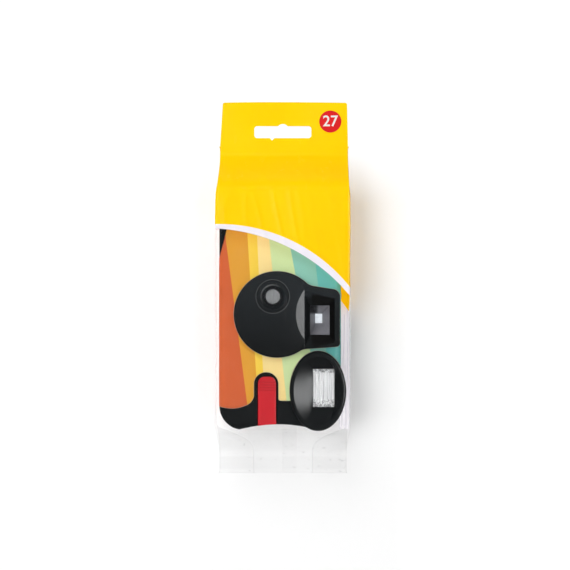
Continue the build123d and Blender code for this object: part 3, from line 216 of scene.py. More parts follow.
class Recipe:
    """One procedural material, built node by node round a principled shader."""

    # The specular level of a finish that sets none of its own
    GLEAM = 0.1

    def __init__(self, name: str) -> None:
        """Starts an opaque material.

        Args:
            name: The material's name.
        """
        self.material = bpy.data.materials.new(name)
        self.material.use_nodes = True
        self.tree = self.material.node_tree
        self.tree.nodes.clear()
        self.output = self.add("ShaderNodeOutputMaterial")
        self.shader = self.add("ShaderNodeBsdfPrincipled", {}, {"Specular IOR Level": self.GLEAM})
        self.tree.links.new(self.shader.outputs[0], self.output.inputs["Surface"])
        self.place = self.add("ShaderNodeTexCoord").outputs["Object"]

    def add(self, kind: str, settings: dict | None = None, inputs: dict | None = None) -> bpy.types.Node:
        """Adds a node, sets it and feeds it.

        Args:
            kind: The node's type.
            settings: The node's own settings.
            inputs: Values or links, by the socket's name or number.

        Returns:
            The node.
        """
        node = self.tree.nodes.new(kind)
        for key, setting in (settings or {}).items():
            setattr(node, key, setting)
        for key, value in (inputs or {}).items():
            self.feed(node.inputs[key], value)
        return node

    def feed(self, socket: bpy.types.NodeSocket,
             value: Value | bpy.types.NodeSocket | float | Sequence) -> None:
        """Links a socket to a result, or sets its constant.

        Args:
            socket: The socket.
            value: The result that it takes, or its constant.
        """
        source = value.socket if isinstance(value, Value) else value
        if isinstance(source, bpy.types.NodeSocket):
            self.tree.links.new(source, socket)
        elif isinstance(source, (tuple, list)) and len(source) == 3 and len(socket.default_value) == 4:
            socket.default_value = (*source, 1.0)
        else:
            socket.default_value = source

    def spots(self, grain: float, detail: float = 2.0, stretch: Point = (1.0, 1.0, 1.0),
              shift: Point = (0.0, 0.0, 0.0)) -> Value:
        """Soft random spots from 0 to 1.

        Args:
            grain: The size of a spot, in millimetres.
            detail: How much finer noise is on them.
            stretch: How much longer they are along each axis.
            shift: Where the pattern starts, in metres.

        Returns:
            The spots.
        """
        scale = tuple(1 / part for part in stretch)
        turned = self.add("ShaderNodeMapping", {}, {"Vector": self.place, "Scale": scale, "Location": shift})
        node = self.add("ShaderNodeTexNoise", {}, {
            "Vector": turned.outputs[0], "Scale": 1 / (grain * MM), "Detail": detail, "Roughness": 0.55,
        })
        return Value(self, node.outputs[0])

    def axes(self) -> tuple[Value, Value, Value]:
        """The place on the object along X, Y and Z, in millimetres."""
        parts = self.add("ShaderNodeSeparateXYZ", {}, {0: self.place}).outputs
        return Value(self, parts[0]) / MM, Value(self, parts[1]) / MM, Value(self, parts[2]) / MM

    def rim(self, blend: float) -> Value:
        """How much the surface turns away from the eye, for its gloss."""
        node = self.add("ShaderNodeLayerWeight", {}, {"Blend": blend})
        return Value(self, node.outputs["Facing"])

    def seen(self) -> Value:
        """Tells where the eye sees a surface, straight on, in a gloss or through a clear part.

        Returns:
            1 where it is seen and 0 where it only gives light.
        """
        rays = self.add("ShaderNodeLightPath").outputs
        straight, gloss, through = (
            Value(self, rays[f"Is {kind} Ray"]) for kind in ("Camera", "Glossy", "Transmission"))
        return straight.highest(gloss).highest(through)

    def mix(self, share: Value | float, first: bpy.types.NodeSocket | Colour,
            second: bpy.types.NodeSocket | Colour) -> bpy.types.NodeSocket:
        """Mixes two colours.

        Args:
            share: How much of the second colour there is.
            first: The first colour.
            second: The second colour.

        Returns:
            The mixed colour.
        """
        node = self.add("ShaderNodeMix", {"data_type": "RGBA"}, {0: share, 6: first, 7: second})
        return node.outputs[2]

    def bump(self, height: Value, distance: float, strength: float = 1.0) -> None:
        """Raises the surface's shading by a height from 0 to 1.

        Args:
            height: The height's pattern.
            distance: How high 1 stands, in millimetres.
            strength: How strongly it shows.
        """
        node = self.add("ShaderNodeBump", {}, {
            "Height": height, "Distance": distance * MM, "Strength": strength,
        })
        self.feed(self.shader.inputs["Normal"], node.outputs[0])

    def dress(self, **values: Value | float | Colour | bpy.types.NodeSocket) -> None:
        """Sets the shader's sockets, named as the shader names them with _ for a space."""
        for key, value in values.items():
            self.feed(self.shader.inputs[key.replace("_", " ")], value)

    def see_through(self, share: Value | float) -> None:
        """Lets what is behind show.

        Args:
            share: How much of the shader still hides it, from 0 to 1.
        """
        clear = self.add("ShaderNodeBsdfTransparent")
        node = self.add("ShaderNodeMixShader", {}, {
            0: share, 1: clear.outputs[0], 2: self.shader.outputs[0],
        })
        self.tree.links.new(node.outputs[0], self.output.inputs["Surface"])


@dataclass(frozen=True)
class MouldedPlastic:
    """Moulded plastic with a spark-eroded grain and faint handling marks."""

    name: str
    colour: Colour
    roughness: float = 0.42
    grain: float = 0.35
    relief: float = 0.012
    sheen: float = 0.0
    gleam: float = 0.06

    PAINTED_SHADE_BLACK = (0.0008, 0.0008, 0.0008)

    def painted_shade_share(self, recipe: Recipe) -> Value | float:
        """How much painted shade, a deep matt black, there is at each place: none."""
        return 0.0

    def paint(self, recipe: Recipe, shade: bpy.types.NodeSocket) -> bpy.types.NodeSocket:
        """Paints highlights and shade into the plastic's colour by place: not at all."""
        return shade

    def make(self) -> bpy.types.Material:
        """Makes the finish.

        Returns:
            Its material.
        """
        recipe = Recipe(self.name)
        fine = recipe.spots(self.grain, detail=3.0)
        broad = recipe.spots(14.0, detail=2.0)
        rubbed = recipe.spots(2.6, detail=4.0, stretch=(1.0, 1.0, 3.0), shift=(0.13, 0.0, 0.02))
        paler = tuple(min(1.0, part * 1.2 + 0.002) for part in self.colour)
        worn = ((broad - 0.35) * 1.4).held() * 0.6 + (fine - 0.5).held() * 0.4
        # Painted shade: where this share is high, the colour goes to a deep black and the surface gets
        # rougher
        matt = self.painted_shade_share(recipe)
        shade = self.paint(recipe, recipe.mix(worn, self.colour, paler))
        recipe.dress(
            Base_Color=recipe.mix(matt, shade, self.PAINTED_SHADE_BLACK),
            Roughness=(rubbed - 0.5) * 0.14 + (broad - 0.5) * 0.08 + self.roughness + matt * 0.5,
            Specular_IOR_Level=self.gleam,
            Coat_Weight=self.sheen,
            Coat_Roughness=0.25,
        )
        recipe.bump(fine, distance=self.relief)
        return recipe.material


@dataclass(frozen=True)
class CaseShell(MouldedPlastic):
    """The case's satin plastic: painted shade on the funnel's matt walls and in the lens groove, painted
    highlights.
    """

    funnel_x: float = 13.4
    funnel_x1: float = 26.6
    funnel_z0: float = -104.0
    funnel_z1: float = -77.8
    funnel_y: float = -15.0
    lens_x: float = -4.8
    lens_z: float = -79.5
    groove_radius: float = 7.65
    edge_step: float = 0.42
    barrel_radius: float = 5.5
    boss_y: float = -13.5
    painted_light_low: float = -104.0
    painted_light_length: float = 44.0

    # Painted light and shade: the boss's lighter top, the barrel's highlight, the groove's shade, its edge's
    # highlight
    BOSS_PAINTED_TOP_LIGHT = (0.02, 0.025, 0.029)
    BARREL_PAINTED_HIGHLIGHT = (0.16, 0.165, 0.165)
    GROOVE_PAINTED_SHADE = (0.0, 0.0, 0.0)
    EDGE_PAINTED_HIGHLIGHT = (0.085, 0.09, 0.092)

    def painted_shade_share(self, recipe: Recipe) -> Value:
        """Tells how much painted shade, a deep matt black, there is at each place: nearly all in the
        funnel's recess.

        Args:
            recipe: The shell's recipe.

        Returns:
            The share, from 0 to 1.
        """
        across, depth, up = recipe.axes()
        wide = (across - self.funnel_x).held() * (across * -1.0 + self.funnel_x1).held()
        long = (up - self.funnel_z0).held() * (up * -1.0 + self.funnel_z1).held()
        return wide * long * ((depth - self.funnel_y) * 4.0).held()

    def paint(self, recipe: Recipe, shade: bpy.types.NodeSocket) -> bpy.types.NodeSocket:
        """Paints shade into the groove round the lens, and paints highlights on its outer edge, the barrel
        and the boss's top.

        Args:
            recipe: The shell's recipe.
            shade: Its plain shade.

        Returns:
            The painted shade.
        """
        across, depth, up = recipe.axes()
        right, high = across - self.lens_x, up - self.lens_z
        reach = (right * right + high * high).root()
        boss = ((depth * -1.0 + self.boss_y) * 4.0).held()
        # Painted shade in the groove; painted highlights on its outer edge and on the barrel's upper left
        # crescent
        groove = (1.0 - (reach - self.groove_radius).size() * 4.0).held() * boss
        edge = (1.0 - (reach - self.groove_radius - self.edge_step).size() * 4.5).held() * boss
        corner = ((high - right) / reach * 0.7).held()
        barrel = (1.0 - (reach - self.barrel_radius).size() * 2.0).held() * corner
        # Painted light: the boss grows lighter towards its top
        upper = ((up - self.painted_light_low) / self.painted_light_length).held()
        shade = recipe.mix(upper * boss * 0.7, shade, self.BOSS_PAINTED_TOP_LIGHT)
        shade = recipe.mix(barrel, shade, self.BARREL_PAINTED_HIGHLIGHT)
        return recipe.mix(edge, recipe.mix(groove, shade, self.GROOVE_PAINTED_SHADE), self.EDGE_PAINTED_HIGHLIGHT)


@dataclass(frozen=True)
class LensRing(MouldedPlastic):
    """The lens's black ring, with a painted highlight on a crescent of its rim at the upper left."""

    lens_x: float = -4.8
    lens_z: float = -79.5
    rim_radius: float = 5.0

    RIM_PAINTED_HIGHLIGHT = (0.15, 0.16, 0.16)

    def paint(self, recipe: Recipe, shade: bpy.types.NodeSocket) -> bpy.types.NodeSocket:
        """Paints a highlight on a crescent of the ring's rim.

        Args:
            recipe: The ring's recipe.
            shade: Its plain shade.

        Returns:
            The painted shade.
        """
        across, _, up = recipe.axes()
        right, high = across - self.lens_x, up - self.lens_z
        reach = (right * right + high * high).root()
        # Painted highlight: the rim's crescent at the upper left
        rim = (1.0 - (reach - self.rim_radius).size() * 2.6).held()
        corner = ((high - right) / reach * 0.7).held()
        return recipe.mix(rim * corner, shade, self.RIM_PAINTED_HIGHLIGHT)


@dataclass(frozen=True)
class RidgedPlastic(MouldedPlastic):
    """Plastic with faint ridges across it, for a finger, with painted shade in the hollows between them."""

    ridge_high: float = -118.6
    ridge_low: float = -125.4
    pitch: float = 1.3

    def paint(self, recipe: Recipe, shade: bpy.types.NodeSocket) -> bpy.types.NodeSocket:
        """Paints shade into the hollows between the ridges.

        Args:
            recipe: The plastic's recipe.
            shade: Its plain shade.

        Returns:
            The painted shade.
        """
        _, _, up = recipe.axes()
        inside = (up * -1.0 + self.ridge_high).held() * (up - self.ridge_low).held()
        # Painted shade in the hollows between the ridges
        painted_hollow_shade = ((up * (2 * math.pi / self.pitch)).wave() * 0.5 + 0.5) * inside
        darker = tuple(part * 0.55 for part in self.colour)
        return recipe.mix(painted_hollow_shade * 0.5, shade, darker)


@dataclass(frozen=True)
class PlainMetal:
    """Drawn or pressed metal with fine lines along one axis."""

    name: str
    colour: Colour
    roughness: float = 0.32
    line: Point = (1.0, 1.0, 14.0)

    def make(self) -> bpy.types.Material:
        """Makes the finish.

        Returns:
            Its material.
        """
        recipe = Recipe(self.name)
        lines = recipe.spots(0.3, detail=3.0, stretch=self.line)
        stain = recipe.spots(6.0, detail=3.0)
        darker = tuple(part * 0.72 for part in self.colour)
        recipe.dress(
            Base_Color=recipe.mix(stain, self.colour, darker),
            Metallic=1.0,
            Roughness=lines * 0.18 + self.roughness - 0.09,
        )
        recipe.bump(lines, distance=0.006)
        return recipe.material


@dataclass(frozen=True)
class ClearPart:
    """Clear moulded plastic: mostly see-through, with its gloss and a faint milky body."""

    name: str
    colour: Colour
    body: float = 0.16
    roughness: float = 0.06
    grain: float = 3.0
    stretch: Point = (1.0, 1.0, 1.0)
    paler: Colour = (1.0, 1.0, 1.0)

    def make(self) -> bpy.types.Material:
        """Makes the finish.

        Returns:
            Its material.
        """
        recipe = Recipe(self.name)
        flow = recipe.spots(self.grain, detail=2.0, stretch=self.stretch)
        recipe.dress(
            Base_Color=recipe.mix(flow * 0.3, self.colour, self.paler),
            Roughness=flow * 0.05 + self.roughness,
            IOR=1.49,
            Coat_Weight=0.1,
            Coat_Roughness=0.04,
        )
        recipe.bump(flow, distance=0.02)
        recipe.see_through((recipe.rim(0.35) * 0.5 + self.body + (flow - 0.5) * 0.06).held())
        return recipe.material


@dataclass(frozen=True)
class RibbedWindow:
    """The flash window's clear plastic, its mirror's bright reflection and fine upright streaks painted in.
    """

    name: str
    low: float = -132.6
    high: float = -114.3
    low_end: float = 4.0
    high_end: float = 2.0
    body: float = 0.7

    # Where the painted dark lines of the reflection stand
    LINES = (15.8, 17.5, 19.7, 21.2, 23.3)
    PAINTED_MIRROR_REFLECTION = (0.93, 0.94, 0.95)
    PAINTED_REFLECTION_STREAK = (0.16, 0.165, 0.17)

    def make(self) -> bpy.types.Material:
        """Makes the finish.

        Returns:
            Its material.
        """
        recipe = Recipe(self.name)
        across, _, up = recipe.axes()
        streaks = recipe.spots(0.7, detail=2.0, stretch=(1.0, 1.0, 16.0))
        noisy = recipe.spots(0.9, detail=4.0, stretch=(1.0, 1.0, 1.2), shift=(0.03, 0.0, 0.0))
        ends = ((up * -1.0 + (self.low + self.low_end)) * 2.0).held().highest(
            ((up - (self.high - self.high_end)) * 2.0).held())
        lines = Value(recipe, recipe.add("ShaderNodeValue").outputs[0])
        for place in self.LINES:
            lines = (1.0 - (across - place).size() * 8.0).held() + lines
        plain = ((streaks - 0.5) * 2.6 + 0.2).held() * 0.5 + lines * 0.45
        dark = plain * (1.0 - ends) + ((noisy - 0.5) * 5.0 + 0.45).held() * ends * 0.8
        # Painted reflection: the mirror behind, bright with dark streaks and noisy ends, is painted into the
        # colour
        recipe.dress(
            Base_Color=recipe.mix(dark.held(), self.PAINTED_MIRROR_REFLECTION, self.PAINTED_REFLECTION_STREAK),
            Roughness=streaks * 0.1 + 0.08,
            IOR=1.49,
            Coat_Weight=0.06,
            Coat_Roughness=0.05,
        )
        recipe.bump(streaks, distance=0.02)
        recipe.see_through((recipe.rim(0.35) * 0.3 + self.body).held())
        return recipe.material


@dataclass(frozen=True)
class PaintedGlowField:
    """A glowing patch, though no lamp, painted as the small bright picture that a reversed finder shows."""

    name: str
    colour: Colour = (0.5, 0.52, 0.54)
    glow: float = 0.5

    def make(self) -> bpy.types.Material:
        """Makes the finish.

        Returns:
            Its material.
        """
        recipe = Recipe(self.name)
        soft = recipe.spots(1.6, detail=2.0)
        shade = recipe.mix(soft * 0.4, self.colour, (1.0, 1.0, 1.0))
        # Painted light: the field glows, though it is no lamp, as the finder's bright picture
        recipe.dress(
            Base_Color=shade,
            Roughness=soft * 0.1 + 0.5,
            Specular_IOR_Level=0.04,
            Emission_Color=shade,
            Emission_Strength=self.glow,
        )
        recipe.bump(soft, distance=0.01)
        return recipe.material


@dataclass(frozen=True)
class FinderTray:
    """The pale grey inside of the finder, glowing a little as painted light, with painted shade on its upper
    left.
    """

    name: str
    colour: Colour = (0.2, 0.2, 0.22)
    glow: float = 0.2
    shade: Colour = (0.006, 0.006, 0.008)
    shade_x: float = 17.4
    shade_z: float = -88.4

    def make(self) -> bpy.types.Material:
        """Makes the finish.

        Returns:
            Its material.
        """
        recipe = Recipe(self.name)
        across, _, up = recipe.axes()
        soft = recipe.spots(2.0, detail=2.0)
        # Painted shade on the tray's upper left
        dark = ((across * -1.0 + self.shade_x) * 0.8).held() * ((up - self.shade_z) * 0.8).held()
        shade = recipe.mix((dark * 0.92 + (soft - 0.5) * 0.2).held(), self.colour, self.shade)
        # Painted light: the tray glows a little, though it is no lamp
        recipe.dress(
            Base_Color=shade,
            Roughness=soft * 0.1 + 0.3,
            Emission_Color=shade,
            Emission_Strength=self.glow,
        )
        recipe.bump(soft, distance=0.02)
        return recipe.material


@dataclass(frozen=True)
class StripedPrint:
    """The label's print: slanting stripes from warm to cool on satin coated paper."""

    name: str
    grain: float = 0.25
    edge_blur: float = 0.12

    # The line between two stripes, by its upper and its lower point, and the print's colour beyond it
    STRIPES = (
        ((-26.90, -55.43), (-17.79, -125.60), (222, 158, 55)),
        ((-16.97, -49.94), (-12.77, -117.40), (243, 206, 75)),
        ((-11.66, -64.88), (-9.74, -109.13), (247, 220, 148)),
        ((-5.06, -65.94), (1.54, -127.06), (203, 224, 164)),
        ((3.81, -57.12), (12.92, -104.69), (137, 196, 179)),
        ((16.00, -66.52), (20.82, -105.37), (104, 189, 183)),
    )
    START = (207, 98, 56)
    PALE_INK = (0.6, 0.54, 0.45)

    def make(self) -> bpy.types.Material:
        """Makes the finish.

        Returns:
            Its material.
        """
        recipe = Recipe(self.name)
        across, _, up = recipe.axes()
        shade: bpy.types.NodeSocket | Colour = from_print(*self.START)
        for (high_x, high_z), (low_x, low_z), after in self.STRIPES:
            slope = (low_x - high_x) / (low_z - high_z)
            beyond = across - (up - high_z) * slope - high_x
            shade = recipe.mix((beyond / self.edge_blur + 0.5).held(), shade, from_print(*after))
        fibre = recipe.spots(self.grain, detail=3.0)
        ink = recipe.spots(9.0, detail=2.0)
        recipe.dress(
            Base_Color=recipe.mix((ink - 0.4).held() * 0.06, shade, self.PALE_INK),
            Roughness=(fibre - 0.5) * 0.1 + 0.46,
            Specular_IOR_Level=0.05,
            Coat_Weight=0.012,
            Coat_Roughness=0.22,
        )
        recipe.bump(fibre, distance=0.006)
        return recipe.material


@dataclass(frozen=True)
class PaperEdge:
    """The pale cut edge of the label's paper, where no ink reaches."""

    name: str
    colour: Colour = (0.5, 0.44, 0.34)
    fibre_brown: Colour = (0.4, 0.33, 0.22)

    def make(self) -> bpy.types.Material:
        """Makes the finish.

        Returns:
            Its material.
        """
        recipe = Recipe(self.name)
        fibre = recipe.spots(0.18, detail=3.0)
        recipe.dress(
            Base_Color=recipe.mix(fibre * 0.3, self.colour, self.fibre_brown),
            Roughness=(fibre - 0.5) * 0.1 + 0.6,
        )
        recipe.bump(fibre, distance=0.01)
        return recipe.material


@dataclass(frozen=True)
class PouchFilm:
    """Thin glossy film: yellow print with a white border above a curved edge, and clear below it."""

    name: str
    yellow: Colour = (0.9, 0.56, 0.0)
    deep_yellow: Colour = (0.9, 0.52, 0.0)
    border: Colour = (0.74, 0.7, 0.76)
    bare: Colour = (0.93, 0.93, 0.95)
    haze: float = 0.002
    # Painted light: how strongly the print glows, though it is no lamp
    glow: float = 0.6
    front_glow_share: float = 0.23
    edge_blur: float = 0.14
    turn_y: float = -7.0
    turn_depth: float = 15.0
    strip_x: float = 27.4
    strip_y: float = 4.0
    strip_depth: float = 6.0

    # Each edge of the print is an arc through three points, which lies lower on the back's right
    YELLOW_EDGE = ((-32.2, -44.9), (1.54, -51.57), (31.43, -74.23))
    BORDER_EDGE = ((-37.2, -46.9), (9.9, -59.9), (37.2, -86.0))
    BACK_DROP = 11.5
    HALF_WIDTH = 32.2

    def make(self) -> bpy.types.Material:
        """Makes the finish.

        Returns:
            Its material.
        """
        recipe = Recipe(self.name)
        across, depth, up = recipe.axes()
        turned = ((depth - self.turn_y) / self.turn_depth).held()
        behind = turned * ((across + self.HALF_WIDTH) / (2 * self.HALF_WIDTH)).held()
        level = up + behind * self.BACK_DROP
        inked = self._above(across, level, self.YELLOW_EDGE)
        printed = self._above(across, level, self.BORDER_EDGE)
        broad = recipe.spots(22.0, detail=1.0, stretch=(1.0, 1.0, 2.2))
        creases = recipe.spots(5.0, detail=3.0, stretch=(1.0, 1.0, 3.2), shift=(0.2, 0.1, 0.0))
        fade = (up * -0.014 + (broad - 0.5) * 1.1).held()
        yellow = recipe.mix(fade, self.yellow, self.deep_yellow)
        inks = recipe.mix(inked, self.border, yellow)
        # Painted light: the glow is full on the inner face, where the pouch is in shade, and a share of it
        # outside
        inner = Value(recipe, recipe.add("ShaderNodeNewGeometry").outputs["Backfacing"])
        share = inner * (1 - self.front_glow_share) + self.front_glow_share
        lit = recipe.mix(share, (0.0, 0.0, 0.0), inks)
        recipe.dress(
            Base_Color=recipe.mix(printed, self.bare, inks),
            Roughness=(creases - 0.5) * 0.1 + 0.26,
            IOR=1.5,
            Specular_IOR_Level=0.06,
            Emission_Color=lit,
            Emission_Strength=self.glow,
        )
        recipe.bump(creases, distance=0.03, strength=0.4)
        # Painted highlights: glints on the creases, and on the inner right of the back the folded film's
        # streaks and highlights
        painted_glint = ((creases - 0.66) * 6.0).held() * 0.016
        rearward = ((depth - self.strip_y) / self.strip_depth).held()
        beside = ((across - self.strip_x) * 1.5).held() * rearward * inner
        streaks = recipe.spots(1.1, detail=1.0, stretch=(1.0, 1.0, 30.0), shift=(0.05, 0.0, 0.0))
        folds_and_painted_highlights = ((streaks - 0.42) * 6.0).held() * 0.35 + 0.6
        film = recipe.rim(0.2) * 0.22 + painted_glint + self.haze + beside * folds_and_painted_highlights
        recipe.see_through((printed + film).held())
        return recipe.material

    def _above(self, across: Value, level: Value, edge: Sequence[tuple[float, float]]) -> Value:
        """Tells which places lie above a curved edge: those outside the circle that it is part of.

        Args:
            across: The place across.
            level: The level, in millimetres.
            edge: Three points of the edge.

        Returns:
            1 above the edge and 0 below it.
        """
        x, z, radius = circle_through(*edge)
        reach = ((across - x) * (across - x) + (level - z) * (level - z)).root()
        return ((reach - radius) / self.edge_blur + 0.5).held()


@dataclass(frozen=True)
class WeldedFilm:
    """Clear film welded in layers, a little milkier, with crimped lines across its weld."""

    name: str
    milky: Colour = (0.4, 0.4, 0.39)
    speck: Colour = (0.1, 0.1, 0.1)
    haze: float = 0.02
    weld_high: float = -156.5
    weld_low: float = -163.5
    crimp_turn: float = 7.0

    def make(self) -> bpy.types.Material:
        """Makes the finish.

        Returns:
            Its material.
        """
        recipe = Recipe(self.name)
        _, _, up = recipe.axes()
        creases = recipe.spots(4.0, detail=3.0, stretch=(1.0, 1.0, 2.6))
        inside = (up * -1.0 + self.weld_high).held() * (up - self.weld_low).held()
        crimp = ((up * self.crimp_turn).wave() * 0.5 + 0.5) * inside
        dust = recipe.spots(1.6, detail=1.0, stretch=(1.6, 1.0, 1.0), shift=(0.07, 0.0, 0.03))
        specks = ((dust - 0.7) * 12.0).held()
        recipe.dress(
            Base_Color=recipe.mix(specks, self.milky, self.speck),
            Roughness=(creases - 0.5) * 0.12 + 0.22,
            IOR=1.5,
        )
        recipe.bump(crimp * 0.5 + creases, distance=0.05, strength=0.5)
        recipe.see_through((recipe.rim(0.2) * 0.12 + inside * 0.01 + specks * 0.1 + self.haze).held())
        return recipe.material


@dataclass(frozen=True)
class PrintedInk:
    """A flat ink with its film's gloss."""

    name: str
    colour: Colour
    roughness: float = 0.3

    def make(self) -> bpy.types.Material:
        """Makes the finish.

        Returns:
            Its material.
        """
        recipe = Recipe(self.name)
        screen = recipe.spots(0.2, detail=2.0)
        darker = tuple(part * 0.86 for part in self.colour)
        recipe.dress(
            Base_Color=recipe.mix(screen, self.colour, darker),
            Roughness=(screen - 0.5) * 0.08 + self.roughness,
            Coat_Weight=0.04,
            Coat_Roughness=0.15,
        )
        recipe.bump(screen, distance=0.004)
        return recipe.material


@dataclass(frozen=True)
class WoundRoll:
    """Fine layers or turns wound one on another, seen as lines along one axis."""

    name: str
    colour: Colour
    pitch: float
    gloss: float = 0.3
    metallic: float = 0.0

    def make(self) -> bpy.types.Material:
        """Makes the finish.

        Returns:
            Its material.
        """
        recipe = Recipe(self.name)
        along, _, _ = recipe.axes()
        turns = (along * (2 * math.pi / self.pitch)).wave() * 0.5 + 0.5
        stain = recipe.spots(3.0, detail=2.0)
        darker = tuple(part * 0.5 for part in self.colour)
        recipe.dress(
            Base_Color=recipe.mix((turns * 0.6 + stain * 0.3).held(), darker, self.colour),
            Metallic=self.metallic,
            Roughness=(stain - 0.5) * 0.1 + self.gloss,
        )
        recipe.bump(turns, distance=self.pitch / 4)
        return recipe.material


@dataclass(frozen=True)
class LacqueredBoard:
    """A circuit board's green lacquer over its copper tracks."""

    name: str
    lacquer: Colour = (0.015, 0.09, 0.04)
    track: Colour = (0.05, 0.2, 0.09)

    def make(self) -> bpy.types.Material:
        """Makes the finish.

        Returns:
            Its material.
        """
        recipe = Recipe(self.name)
        across, _, up = recipe.axes()
        rows = ((across * 1.4 + (up * 0.35).wave()).wave() * 3.0).held()
        columns = ((up * 1.1 + (across * 0.3).wave()).wave() * 3.0 - 1.2).held()
        tracks = rows.highest(columns)
        weave = recipe.spots(0.4, detail=2.0)
        recipe.dress(
            Base_Color=recipe.mix(tracks, self.lacquer, self.track),
            Roughness=(weave - 0.5) * 0.1 + 0.34,
            Coat_Weight=0.06,
        )
        recipe.bump(tracks + weave * 0.2, distance=0.03)
        return recipe.material


@dataclass(frozen=True)
class PrintedCan:
    """A printed steel can: a main colour, and a band of another round it."""

    name: str
    main: Colour
    band: Colour
    low: float
    high: float
    upright: bool = False

    def make(self) -> bpy.types.Material:
        """Makes the finish.

        Returns:
            Its material.
        """
        recipe = Recipe(self.name)
        across, _, up = recipe.axes()
        along = up if self.upright else across
        inside = (along - self.low).held() * (along * -1.0 + self.high).held()
        grain = recipe.spots(0.3, detail=3.0)
        recipe.dress(
            Base_Color=recipe.mix(inside, self.main, self.band),
            Metallic=0.35,
            Roughness=(grain - 0.5) * 0.12 + 0.34,
        )
        recipe.bump(grain, distance=0.004)
        return recipe.material


def smooth_step(value: float, low: float, high: float) -> float:
    """Rises smoothly from 0 at a low value to 1 at a high one.

    Args:
        value: Where to read it.
        low: Where the rise starts.
        high: Where it ends.

    Returns:
        The share, from 0 to 1.
    """
    share = min(1.0, max(0.0, (value - low) / (high - low)))
    return share * share * (3 - 2 * share)


def finish_piece(name: str, form: bmesh.types.BMesh, material: bpy.types.Material, body: str,
                 outward: bool = True, smooth: bool = True) -> bpy.types.Object:
    """Turns a form into a piece that rides on a body.

    Args:
        name: The piece's name.
        form: Its form, in metres, where it stands.
        material: Its finish.
        body: The body that it rides on.
        outward: Whether its faces are turned outward first.
        smooth: Whether its faces are shaded smooth.

    Returns:
        The piece.
    """
    if outward:
        bmesh.ops.recalc_face_normals(form, faces=form.faces)
    for face in form.faces:
        face.smooth = smooth
    mesh = bpy.data.meshes.new(name)
    form.to_mesh(mesh)
    form.free()
    mesh.materials.append(material)
    piece = bpy.data.objects.new(name, mesh)
    bpy.context.scene.collection.objects.link(piece)
    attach(piece, body)
    LOG.info("%s: %d faces", name, len(mesh.polygons))
    return piece


def shape_grid(across: int, along: int, place: Callable[[float, float], Point],
               joined: bool = False) -> bmesh.types.BMesh:
    """Makes a grid and sets each of its points by a function of two shares.

    Args:
        across: How many cells it has one way.
        along: How many cells it has the other way.
        place: Gives a point in millimetres from the two shares, each from 0 to 1.
        joined: Whether the grid's first and last columns meet.

    Returns:
        The form.
    """
    form = bmesh.new()
    bmesh.ops.create_grid(form, x_segments=across, y_segments=along, size=0.5)
    for vert in form.verts:
        vert.co = Vector(place(vert.co.x + 0.5, vert.co.y + 0.5)) * MM
    if joined:
        bmesh.ops.remove_doubles(form, verts=form.verts, dist=0.01 * MM)
    return form


def copy_of_node(frame: dict, node: str) -> bmesh.types.BMesh:
    """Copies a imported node's mesh and joins its loose triangles.

    Args:
        frame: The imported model.
        node: The node's name.

    Returns:
        The copy.
    """
    form = bmesh.new()
    form.from_mesh(frame["nodes"][node].data)
    bmesh.ops.remove_doubles(form, verts=form.verts, dist=0.002 * MM)
    return form


def letters(words: str, size: float, turn: Matrix) -> bmesh.types.BMesh:
    """Makes flat figures as a form.

    Args:
        words: The figures.
        size: Their height, in millimetres.
        turn: Where they stand, as a matrix in metres.

    Returns:
        The form.
    """
    curve = bpy.data.curves.new("figures", "FONT")
    curve.body = words
    curve.size = size * MM
    curve.align_x = "CENTER"
    curve.align_y = "CENTER"
    curve.extrude = FIGURE_THICKNESS * MM
    curve.offset = size * FIGURE_BOLDNESS * MM
    holder = bpy.data.objects.new("figures", curve)
    bpy.context.scene.collection.objects.link(holder)
    mesh = bpy.data.meshes.new_from_object(holder)
    form = bmesh.new()
    form.from_mesh(mesh)
    bpy.data.objects.remove(holder)
    bpy.data.meshes.remove(mesh)
    bmesh.ops.remove_doubles(form, verts=form.verts, dist=0.001 * MM)
    bmesh.ops.transform(form, matrix=turn, verts=form.verts)
    return form


